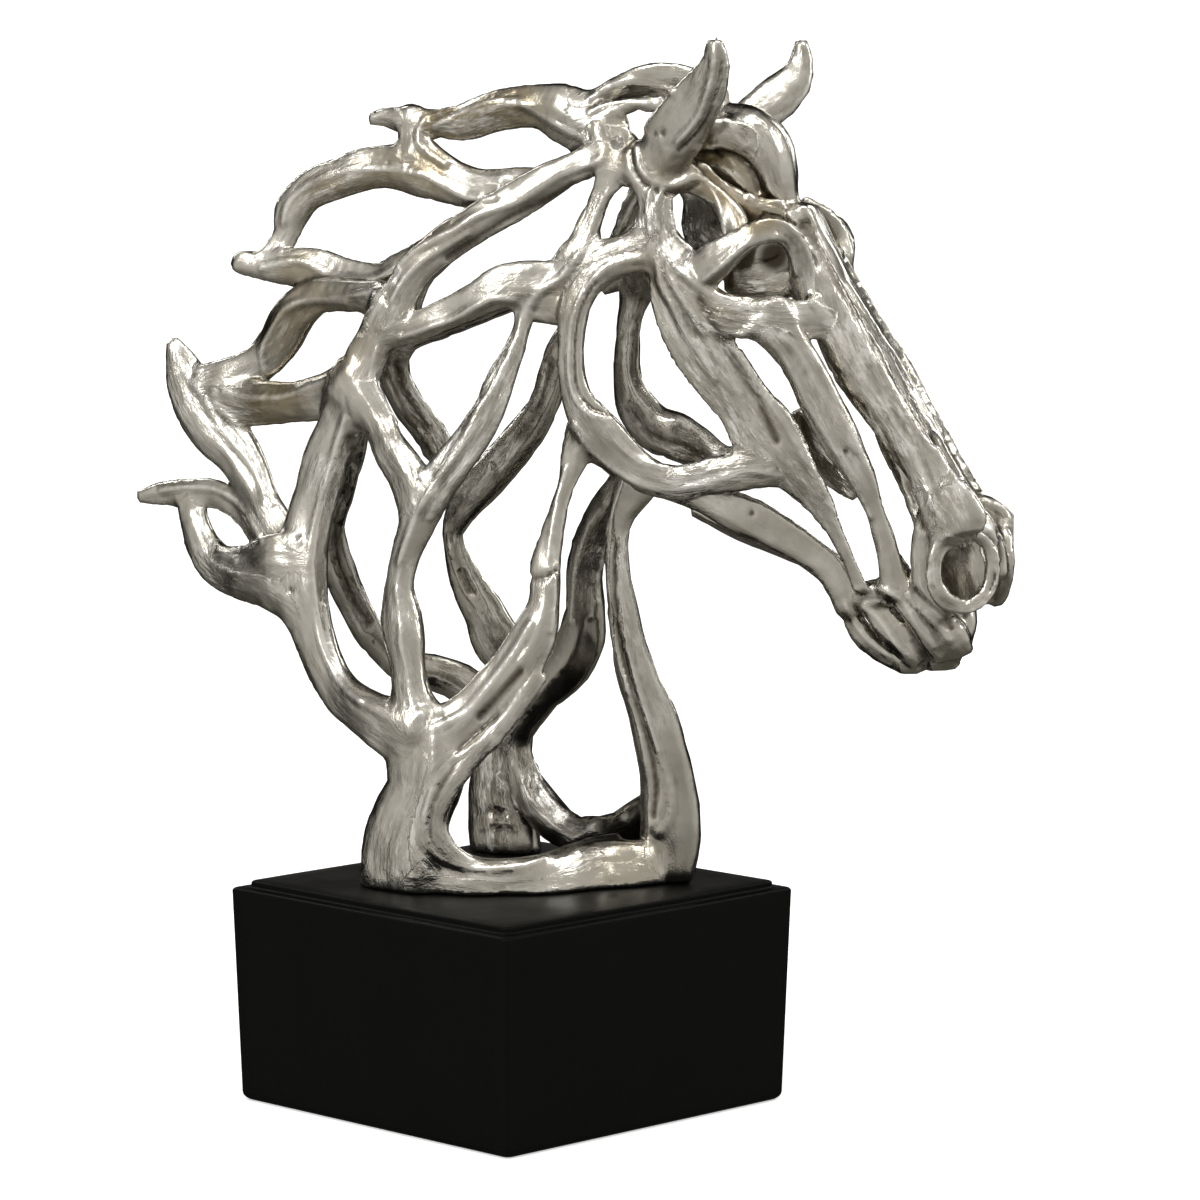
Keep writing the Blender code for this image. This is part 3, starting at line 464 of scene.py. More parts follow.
HEAD_FAR = {
    "far cheek ring": (0.7, [
        (655, 262, -40, 30), (640, 284, -62, 32), (630, 312, -70, 28), (627, 345, -72, 27),
        (627, 378, -72, 30), (635, 405, -72, 40), (653, 428, -72, 46), (676, 437, -70, 48),
        (699, 447, -68, 41), (724, 462, -62, 32), (752, 462, -62, 30)]),
    "far cheek ring rear": (0.6, [
        (656, 266, -44, 30), (636, 269, -56, 32), (618, 279, -62, 22), (604, 290, -58, 12)]),
    "far cheek plate": (0.3, [
        (680, 300, -62, 34), (704, 342, -66, 42), (728, 378, -66, 44), (750, 412, -66, 44),
        (768, 442, -64, 50), (790, 468, -58, 36), (814, 500, -52, 16), (838, 545, -44, 10),
        (858, 586, -36, 12)]),
    "far cheek bone": (0.5, [
        (650, 262, -50, 26), (680, 292, -66, 26), (712, 310, -70, 32), (745, 316, -70, 28),
        (775, 320, -66, 30), (806, 322, -52, 26), (842, 326, -40, 26)]),
    "far cheek strand": (0.7, [
        (780, 326, -66, 26), (806, 376, -60, 26), (836, 434, -54, 26), (862, 480, -48, 16),
        (877, 520, -42, 13), (890, 568, -36, 18), (898, 592, -30, 22)]),
    "far lower jaw": (0.6, [
        (650, 483, -50, 18), (684, 492, -50, 22), (714, 503, -46, 27), (745, 518, -42, 31),
        (775, 533, -36, 28), (802, 549, -30, 26), (826, 568, -26, 24),
        (846, 594, -22, 24)]),
    "far temple plate": (0.3, [
        (640, 176, -50, 24), (680, 180, -54, 26), (705, 200, -56, 44), (704, 226, -58, 46),
        (718, 242, -58, 40), (740, 236, -56, 40), (758, 226, -50, 30)]),
    "far temple leaf": (0.4, [
        (642, 184, -50, 14), (633, 204, -50, 19), (623, 226, -50, 17), (612, 246, -54, 14),
        (608, 264, -58, 16), (612, 280, -60, 18)]),
    "far brow plate": (0.5, [
        (802, 208, -40, 26), (820, 220, -54, 32), (834, 236, -60, 30), (842, 256, -54, 26)]),
    "far nostril plate": (0.6, [
        (986, 508, -38, 26), (1000, 530, -42, 30), (1001, 558, -42, 30), (993, 586, -36, 26)]),
    "far nose side": (0.6, [
        (800, 222, -30, 28), (826, 252, -36, 30), (853, 300, -38, 30), (884, 349, -38, 31),
        (911, 395, -38, 31), (931, 433, -38, 31), (950, 469, -38, 32),
        (969, 498, -40, 32)]),
    "far nostril wing": (0.7, [
        (980, 508, -34, 24), (999, 521, -40, 28), (1006, 545, -44, 20),
        (1001, 570, -42, 18), (988, 595, -34, 18)]),
}
HEAD_MIRRORED = {
    "far brow": (0.6, [
        (684, 266, 72, 28), (700, 270, 76, 32), (718, 262, 82, 34), (738, 245, 84, 26),
        (756, 233, 82, 22), (774, 233, 77, 22), (789, 248, 69, 22), (796, 270, 57, 26),
        (806, 300, 48, 30)]),
    "far eye bowl": (0.3, [
        (734, 272, 48, 52), (762, 270, 44, 66), (786, 264, 38, 58)]),
    "far nostril ring": (0.5, [
        (966, 537, 38, 14), (984, 542, 28, 14), (992, 562, 22, 14), (988, 586, 24, 14),
        (972, 606, 36, 16), (950, 602, 50, 18), (937, 582, 56, 18), (937, 556, 56, 18),
        (949, 541, 48, 16), (966, 537, 38, 14)]),
    "far muzzle side": (0.7, [
        (926, 536, 44, 26), (928, 566, 44, 28), (934, 590, 42, 28), (950, 612, 30, 24)]),
    "far upper lip": (0.7, [
        (862, 594, 26, 22), (884, 590, 26, 24), (906, 598, 24, 30), (926, 617, 16, 36),
        (940, 634, 8, 40)]),
    "far lower lip": (0.6, [
        (862, 602, 26, 12), (876, 616, 30, 22), (892, 634, 26, 26), (908, 650, 20, 24)]),
    "far temple strand": (0.5, [
        (642, 168, 60, 24), (648, 198, 62, 28), (652, 226, 62, 34), (656, 250, 60, 36)]),
}
EARS = {
    "near ear": (0.45, [
        (715, 44, 96, 18), (715, 64, 94, 29), (706, 86, 88, 43), (691, 110, 80, 54),
        (674, 134, 72, 58), (658, 156, 64, 52), (650, 172, 58, 38)]),
    "far ear": (0.45, [
        (801, 44, -94, 16), (801, 64, -92, 26), (791, 84, -84, 38), (773, 101, -72, 43),
        (754, 116, -58, 40), (734, 130, -44, 36)]),
    "ear base ring": (0.6, [
        (640, 146, 58, 16), (639, 166, 60, 18), (652, 180, 62, 18), (674, 184, 64, 18),
        (696, 176, 62, 16)]),
    "ear root": (0.6, [
        (640, 160, 56, 34), (662, 172, 58, 30), (688, 170, 56, 30)]),
}


# Where the crest of a strand lies: its share of half the width, towards the strand's own
# right as it is drawn.  Strands that are not named carry theirs in the middle.
CREST = {
    "crest trunk": -0.5, "joint strand": -0.3, "middle trunk": -0.2, "right branch": -0.25,
    "foot trunk": -0.5, "long diagonal": 0.1, "lower mane strand": 0.4,
    "stem under the diagonal": -0.4, "upper ribbon": -0.35, "upper ribbon root": -0.3,
    "top lock": -0.1, "strand below the slot": -0.4, "second lock": 0.2, "third lock": 0.2,
    "third lock flame": 0.2, "bridge to the trunk": 0.1, "fourth lock": -0.2,
    "fourth lock root": -0.2, "cheek ring": -0.35, "cheek bone strand": 0.2, "brow": 0.35,
    "nose side": 0.25, "lower jaw": 0.4, "near ear": -0.45, "far ear": -0.2, "front pillar": 0.45,
    "arch rim": -0.1, "foot band": 0.2, "upper lip": -0.2, "lower lip": 0.2, "far cheek ring": -0.2}

# Lines that the modelling tool left, as they are seen on the sheet: (rise, reach, line).
# A rise above nothing is a ridge, below nothing a groove.  The crack is kept as it was.
TOOL_LINES = {
    "top lock and poll": [
        (3.0, 6, [(520, 102), (545, 118), (565, 130), (585, 138)]),
        (3.3, 6, [(590, 98), (610, 86), (632, 82), (655, 85), (672, 92)]),
        (2.7, 5, [(590, 112), (605, 104), (625, 101), (648, 103)])],
    "long diagonal": [
        (3.0, 6, [(400, 262), (420, 247), (450, 232), (480, 214), (520, 200), (560, 176), (600, 160)]),
        (2.4, 5, [(392, 300), (402, 282), (422, 262), (446, 247), (470, 232)]),
        (-3.0, 6, [(448, 258), (480, 236), (512, 216), (545, 200), (572, 186)])],
    "temple": [
        (2.4, 5, [(628, 186), (612, 191), (600, 207), (593, 226), (597, 240)]),
        (2.7, 6, [(652, 190), (648, 208), (651, 232)]),
        (2.4, 5, [(664, 188), (656, 206), (656, 228)]),
        (2.7, 5, [(688, 177), (704, 180), (716, 194), (722, 214), (724, 232)])],
    "forehead": [
        (2.7, 6, [(697, 149), (722, 146), (745, 154), (762, 172), (772, 190), (790, 212), (806, 232)]),
        (-3.3, 7, [(700, 154), (722, 151), (742, 160), (752, 172), (758, 188)]),
        (2.4, 5, [(700, 166), (722, 170), (742, 186), (760, 206), (782, 214)])],
    "near ear": [
        (3.6, 6, [(716, 46), (713, 74), (707, 96), (700, 115), (690, 130), (678, 141)]),
        (-1.8, 4, [(722, 62), (719, 84), (713, 104), (704, 122), (692, 137), (678, 150)])],
    "forehead edge": [
        (2.1, 5, [(724, 116), (740, 140), (757, 160), (768, 178)])],
    "brow": [
        (3.3, 6, [(705, 280), (722, 267), (735, 255), (748, 245), (764, 239), (780, 240),
            (792, 254), (797, 272)])],
    "cheek plate": [
        (2.7, 7, [(658, 262), (663, 285), (672, 305), (685, 330), (700, 352), (715, 378)]),
        (2.4, 7, [(664, 258), (675, 285), (690, 310), (705, 335), (722, 360), (740, 392)]),
        (2.7, 7, [(664, 254), (682, 270), (697, 284), (720, 298), (744, 306), (772, 304)]),
        (-2.4, 8, [(700, 300), (716, 330), (738, 366), (760, 402), (776, 440)]),
        (2.4, 6, [(742, 352), (760, 384), (784, 420), (806, 458), (822, 492)])],
    "cheek ring": [
        (3.0, 5, [(642, 258), (616, 263), (598, 275), (582, 297), (573, 320), (570, 345),
            (570, 375), (575, 396), (588, 412), (604, 420), (613, 434), (624, 448), (642, 462),
            (664, 467), (690, 467), (710, 460), (721, 444)]),
        (-2.4, 4, [(600, 272), (586, 296), (578, 320), (575, 345), (575, 375), (580, 394),
            (592, 408), (608, 414)]),
        (2.4, 6, [(575, 425), (588, 446), (606, 464), (632, 480), (660, 488), (700, 486),
            (742, 472), (780, 474)])],
    "far cheek ring": [
        (2.7, 6, [(640, 300), (630, 326), (627, 360), (630, 382), (640, 400), (652, 412),
            (668, 419), (684, 421), (700, 434), (716, 452)]),
        (-3.0, 9, [(632, 410), (650, 434), (676, 444), (704, 456)])],
    "cheek bone strand": [
        (2.7, 6, [(740, 336), (752, 330), (765, 336), (780, 352), (794, 376), (812, 412),
            (834, 448), (856, 486), (870, 516)]),
        (2.4, 6, [(784, 336), (800, 352), (818, 384), (838, 418), (856, 450)])],
    "nose": [
        (-9.0, 10, [(806, 226), (826, 256), (848, 296), (870, 332), (894, 372), (916, 408),
            (938, 444), (958, 474)]),
        (2.7, 5, [(798, 214), (816, 240), (842, 276), (868, 314), (892, 352), (916, 392), (940, 432)]),
        (2.7, 7, [(812, 296), (832, 326), (858, 366), (884, 404), (908, 442), (924, 476), (934, 508)]),
        (-2.7, 7, [(858, 400), (880, 432), (898, 462), (912, 494), (922, 526)])],
    "nostril": [
        (3.0, 5, [(930, 560), (936, 546), (950, 535), (968, 529), (988, 530), (998, 540)]),
        (3.0, 5, [(928, 574), (931, 592), (944, 607), (964, 612), (984, 604), (994, 588),
            (998, 566), (996, 546)]),
        (-2.7, 5, [(996, 512), (999, 536), (998, 568), (990, 598)])],
    "lips": [
        (2.7, 5, [(858, 590), (876, 588), (894, 594), (908, 608), (920, 628), (934, 646)]),
        (-1.6, 4, [(862, 599), (878, 598), (892, 606), (904, 622), (916, 642), (928, 656)]),
        (2.7, 5, [(862, 606), (874, 614), (886, 628), (898, 646), (908, 658)]),
        (-1.8, 4, [(854, 606), (868, 624), (882, 640), (898, 654)]),
        (2.4, 5, [(846, 604), (856, 624), (872, 642), (890, 656)]),
        (-1.8, 5, [(914, 590), (928, 602), (944, 616), (952, 628)]),
        (2.4, 5, [(908, 596), (922, 610), (938, 626), (950, 640)])],
    "foot of the ear": [
        (-2.4, 4, [(642, 112), (634, 128), (631, 146), (633, 164), (643, 182), (660, 193),
            (682, 193), (698, 184)]),
        (2.4, 5, [(636, 148), (640, 166), (652, 180), (672, 185), (694, 177)])],
    "notch in the chin": [
        (-6.0, 7, [(924, 678), (923, 664), (919, 652), (914, 642)])],
    "slender strand": [
        (3.0, 6, [(528, 312), (516, 342), (505, 366), (494, 388), (478, 412), (464, 440),
            (446, 468), (432, 490), (418, 512), (408, 538), (400, 562)]),
        (2.4, 6, [(508, 392), (498, 418), (480, 448), (460, 474), (444, 494), (430, 518)])],
    "joint strand": [
        (3.0, 5, [(376, 350), (373, 376), (382, 398), (398, 424), (412, 444), (428, 458)])],
    "middle trunk": [
        (2.7, 6, [(398, 590), (404, 616), (402, 642), (408, 668), (411, 692), (420, 716)])],
    "right branch": [
        (2.7, 5, [(566, 470), (560, 492), (555, 516), (551, 542), (552, 570), (554, 598), (550, 630)]),
        (2.7, 7, [(530, 626), (514, 652), (496, 676), (478, 698), (462, 714), (436, 728)])],
    "arch rim": [
        (3.0, 5, [(552, 640), (540, 668), (520, 696), (500, 720), (478, 742), (456, 758),
            (440, 776), (430, 798), (425, 822), (429, 846), (444, 860), (470, 868), (500, 869),
            (530, 864), (558, 850), (582, 834)])],
    "groove in the right branch": [
        (-2.7, 8, [(520, 672), (500, 694), (480, 716)])],
    "crest trunk": [
        (3.0, 7, [(344, 420), (334, 456), (326, 490), (316, 530), (312, 570), (317, 606),
            (322, 640), (336, 676), (360, 700)]),
        (2.4, 6, [(326, 560), (326, 596), (330, 630), (338, 664), (352, 688)])],
    "upper ribbon": [
        (3.0, 6, [(284, 222), (288, 204), (304, 188), (328, 176), (356, 169), (392, 169),
            (424, 175), (448, 188), (470, 198), (494, 198)])],
    "second lock": [
        (3.0, 6, [(262, 268), (284, 262), (304, 262), (326, 272), (350, 278), (378, 278), (398, 266)])],
    "third lock": [
        (2.4, 5, [(330, 298), (356, 295), (378, 288), (392, 282)]),
        (2.7, 6, [(264, 370), (262, 350), (276, 322), (290, 306), (316, 300), (346, 301)])],
    "bridge to the trunk": [
        (3.0, 6, [(224, 390), (250, 397), (280, 397), (306, 388), (328, 376), (344, 352)])],
    "third lock flame": [
        (2.7, 6, [(176, 352), (186, 372), (204, 398), (220, 424), (240, 450), (258, 474), (266, 502)]),
        (2.4, 6, [(216, 404), (232, 420), (250, 444), (264, 474), (272, 504)])],
    "fourth lock": [
        (2.7, 5, [(162, 490), (190, 487), (214, 489), (234, 500), (250, 520), (262, 540)]),
        (2.4, 5, [(202, 512), (206, 532), (216, 548), (236, 560)])],
    "root of the top lock": [
        (3.0, 5, [(424, 120), (418, 138), (428, 152), (446, 164)]),
        (2.7, 6, [(436, 126), (462, 112), (490, 102), (520, 102)])],
    "lower mane strand": [
        (3.0, 5, [(400, 338), (428, 328), (452, 320), (472, 309), (492, 300), (514, 300)]),
        (2.7, 6, [(520, 340), (524, 316), (540, 292), (562, 276), (578, 256)])],
    "front pillar": [
        (2.7, 5, [(608, 504), (606, 540), (606, 580), (609, 616), (616, 652), (628, 692)]),
        (2.7, 5, [(622, 540), (620, 580), (624, 626), (633, 672), (646, 712), (660, 752),
            (670, 786), (670, 816), (660, 834)]),
        (-3.0, 6, [(616, 548), (615, 590), (620, 640), (632, 690), (648, 740), (656, 784),
            (654, 816)])],
    "far throat strand": [
        (2.4, 6, [(590, 520), (578, 556), (574, 590), (572, 620)])],
    "far crest trunk": [
        (-4.5, 9, [(352, 440), (348, 480), (338, 520), (338, 556), (352, 594), (368, 624)]),
        (2.4, 6, [(352, 546), (366, 580), (378, 612)])],
    "far upper strand": [
        (-4.5, 9, [(396, 366), (404, 396), (424, 426)])],
    "far slender strand": [
        (-4.5, 9, [(550, 366), (542, 396), (524, 430), (496, 464)]),
        (-3.9, 8, [(452, 534), (456, 560), (470, 590)]),
        (2.7, 6, [(470, 574), (486, 600), (498, 622)])],
    "far band": [
        (3.0, 6, [(536, 752), (540, 784), (558, 806), (590, 818), (624, 816)])],
    "far rear pillar": [
        (-2.4, 6, [(476, 812), (490, 811), (504, 815)]),
        (-2.4, 5, [(480, 831), (500, 829), (516, 832)]),
        (2.4, 7, [(496, 738), (492, 764), (506, 790)])],
    "crack": [
        (-3.9, 5, [(527, 577), (536, 578), (546, 577), (556, 571)])],
}

# Beads and pits: (across, down, rise, reach).
BEADS = [
    (595, 580, 2.5, 7), (500, 455, 2.2, 6), (420, 430, 2.0, 6), (663, 133, -2.4, 6),
    (752, 513, -2.0, 6), (776, 256, -9.0, 20), (300, 540, 2.0, 6), (299, 538, -2.2, 5),
    (290, 590, -2.4, 6), (600, 552, 2.4, 6), (602, 566, 2.4, 6), (598, 600, 2.2, 6),
    (592, 615, 2.2, 6), (656, 134, -2.0, 5), (590, 828, 3.5, 14), (541, 470, 2.0, 6),
    (846, 452, -1.6, 5)]

# Holes that the strands close up and the casting has open: (across, down, radius).
HOLES = [(640, 118, 7), (637, 126, 7), (640, 133, 5)]

# Where more of the brown wash was left, on the sheet: (across, down, reach, strength).
# Below nothing the spot is painted shade, in the eye bowl, the holes and other hollows.
WASH_AND_SHADE_SPOTS = [
    (500, 112, 60, 1), (445, 120, 36, 1), (618, 148, 26, 0.5), (617, 143, 13, -0.6),
    (632, 122, 18, 0.5), (720, 175, 44, 1), (758, 210, 36, 1), (676, 176, 30, 0.6),
    (320, 330, 60, 1), (280, 330, 40, 1), (275, 408, 44, 1), (400, 200, 70, 0.8),
    (330, 205, 40, 0.8), (300, 275, 34, 0.8), (645, 275, 30, 0.5), (560, 300, 26, 0.4),
    (430, 165, 26, 1), (720, 300, 30, 0.4), (774, 256, 20, -1), (700, 215, 30, -0.9),
    (690, 235, 26, -0.9), (752, 285, 20, -0.3), (548, 794, 36, -0.8), (566, 814, 30, -0.8),
    (628, 868, 50, 0.5), (598, 830, 30, -0.6), (640, 140, 12, -0.8)]

# Where the coat crumpled into foil, with its painted glints and painted shade, laid down in the same
# way.
FOIL_SPOTS = [
    (725, 440, 60, 1), (822, 480, 50, 1), (890, 430, 60, 1), (935, 500, 44, 1), (850, 350, 50, 1),
    (700, 390, 50, 1), (510, 370, 50, 1), (440, 450, 60, 1), (340, 480, 40, 1), (662, 222, 40, 1),
    (760, 312, 50, 1), (715, 330, 40, 1), (690, 470, 50, 0.8), (480, 430, 40, 0.8),
    (600, 560, 40, 0.8), (500, 780, 60, 0.8), (585, 845, 30, 0.7), (410, 860, 60, 0.7),
    (215, 570, 40, 1), (180, 380, 50, 1), (230, 420, 40, 0.8), (470, 120, 60, 0.8),
    (320, 165, 60, 0.8), (740, 620, 60, 0.6), (720, 80, 40, 0.6)]

# How the strands are melted together, in sheet units.
STRAND_STEP = 8.0           # between two rings of a strand
THINNEST_WIDTH = 4.0        # no strand is drawn thinner
LEAST_SEEN = 0.5            # share of a strand's width that is seen at a slant
CREST_POWER = 1.18          # 2 is a round section, 1 has flat faces that meet in a crest
OUTER_SHARE = 0.72          # how deep the outer face is, beside the inner one
CELL = 2.2                  # grid of the field that melts the strands together
FILLET = 2.9                # how softly one strand runs into the next
REACH = 24.0                # how far from a strand its field is worked out
FIELD_LOW = (-480, -400, -8)
FIELD_HIGH = (490, 320, 880)
TOOL_STEP = 1.6             # between two marks along a tool line
SIGHT_REACH = 330.0         # how far before and behind the sheet the resin is looked for
SIGHT_STEP = 1.6
DRAWN_STEPS = 100.0         # a drawn line's strength is kept in this many steps each way


def from_aim(sheet_points):
    """How far each sheet point lies from the point aimed at, in the plane of the sheet."""
    return (
        (sheet_points[:, 0:1] - SHEET_MIDDLE) * SHEET_RIGHT
        + (SHEET_MIDDLE - sheet_points[:, 1:2]) * SHEET_UP)


def on_sight_line(offset, behind):
    """A sight line's point some way behind the sheet: it spreads evenly from the eye."""
    return SHEET_AIM + behind * LOOK + (1.0 + behind / EYE_DISTANCE) * offset


def place(route):
    """Where the sight line of each sheet point meets its own plane beside the middle plane."""
    offset = from_aim(route)
    to_plane = MIDDLE_PLANE - route[:, 2] - SHEET_AIM @ FAR_SIDE - offset @ FAR_SIDE
    behind = to_plane / (LOOK @ FAR_SIDE + offset @ FAR_SIDE / EYE_DISTANCE)
    return on_sight_line(offset, behind[:, None])


def on_sheet(points):
    """Where the eye sees each point: across and down on the sheet."""
    away = (points - EYE) @ LOOK
    across = (points - EYE) @ SHEET_RIGHT * EYE_DISTANCE / away
    rise = (points - EYE) @ SHEET_UP * EYE_DISTANCE / away
    return SHEET_MIDDLE + across, SHEET_MIDDLE - rise


def on_block(points):
    """Sheet units to metres on the block, whose corner faces the eye."""
    turned = np.array([
        [math.cos(SHEET_TURN), math.sin(SHEET_TURN), 0.0],
        [-math.sin(SHEET_TURN), math.cos(SHEET_TURN), 0.0],
        [0.0, 0.0, 1.0]])
    return points * UNIT @ turned + np.array([0.0, 0.0, BLOCK_HEIGHT + PANEL_RISE])


def mirror(points):
    """The same points on the other side of the horse's middle plane."""
    away = points @ FAR_SIDE - MIDDLE_PLANE
    return points - 2.0 * away[:, None] * FAR_SIDE


def unit(vectors):
    """Each vector divided by its own length."""
    return vectors / np.linalg.norm(vectors, axis=-1, keepdims=True)


def smooth_route(knots, closed, step):
    """A curve through the knots: each stretch is the cubic that its four nearest knots give."""
    if closed:
        padded = np.vstack([knots[-2], knots, knots[1]])
    else:
        padded = np.vstack([2 * knots[0] - knots[1], knots, 2 * knots[-1] - knots[-2]])
    stretches = []
    for first in range(len(knots) - 1):
        a, b, c, d = padded[first:first + 4]
        count = max(2, round(np.linalg.norm((c - b)[:3]) / step))
        t = np.arange(count)[:, None] / count
        stretches.append(0.5 * (
            2 * b + (c - a) * t + (2 * a - 5 * b + 4 * c - d) * t**2
            + (3 * b - a - 3 * c + d) * t**3))
    stretches.append(knots[-1:])
    return np.vstack(stretches)


def strand_line(depth_share, knots, mirrored):
    """The strand's middle line with, at each point, half its width and its two side directions.

    Seen at a slant, a section shows its width and its depth as the two legs of a right
    triangle, so half the drawn width is divided by what that triangle's long side gives.
    """
    route = np.array(knots, float)
    closed = bool((route[0] == route[-1]).all())
    points = place(route)
    outer = -FAR_SIDE
    if mirrored:
        points = mirror(points)
        outer = FAR_SIDE
    curve = smooth_route(np.column_stack([points, route[:, 3]]), closed, STRAND_STEP)
    middle = curve[:, :3]
    half = np.maximum(curve[:, 3], THINNEST_WIDTH) / 2.0
    along = unit(np.gradient(middle, axis=0))
    if closed:
        along[[0, -1]] = unit(middle[1] - middle[-2])
    across = unit(np.cross(along, outer))
    outward = np.cross(across, along)
    seen_side = unit(np.cross(along, middle - EYE))
    seen = np.hypot(
        (across * seen_side).sum(axis=1), depth_share * (outward * seen_side).sum(axis=1))
    return middle, half / np.maximum(seen, LEAST_SEEN), across, outward


def section_distance(over, out, half, deep, crest):
    """How far a point lies outside the strand's section.

    The section is |over / half| ** p + |out / deep| ** 2 = 1.  The outer face's crest is
    moved aside by its share of half the width, and p is smaller there, so it is crisp.
    The distance is what the sum is short of 1, divided by how steeply the sum rises.
    """
    tiny = 1e-6
    outer_face = out > 0
    aside = np.where(outer_face, over / half - crest, over / half)
    stretch = np.where(outer_face, np.where(aside > 0, 1.0 - crest, 1.0 + crest), 1.0)
    power = np.where(outer_face, CREST_POWER, 2.0)
    deep = np.where(outer_face, deep * OUTER_SHARE, deep)
    u = np.abs(aside / stretch) + tiny
    v = np.abs(out / deep) + tiny
    mean = (power + 2.0) / 2
    up = u ** (power - 1)
    total = up * u + v * v
    q = total ** (1 / mean)
    slope = q / total / mean
    steep = slope * np.hypot(power * up / (half * stretch), 2.0 * v / deep)
    return (q - 1.0) / steep


def cells(first, last):
    """The box between two corner cells, as slices of a grid."""
    return tuple(slice(start, stop) for start, stop in zip(first, last))


def dot(offsets, direction):
    """The dot product of every grid point's offset with one direction."""
    x, y, z = offsets
    return x * direction[0] + y * direction[1] + z * direction[2]


def between_corners(base, part, value_at):
    """The values at the eight corners of each point's cell, by how near the point lies."""
    total = np.zeros(len(base))
    for corner in np.ndindex(2, 2, 2):
        weight = np.prod(np.where(corner, part, 1.0 - part), axis=1)
        total += weight * value_at(base + corner)
    return total


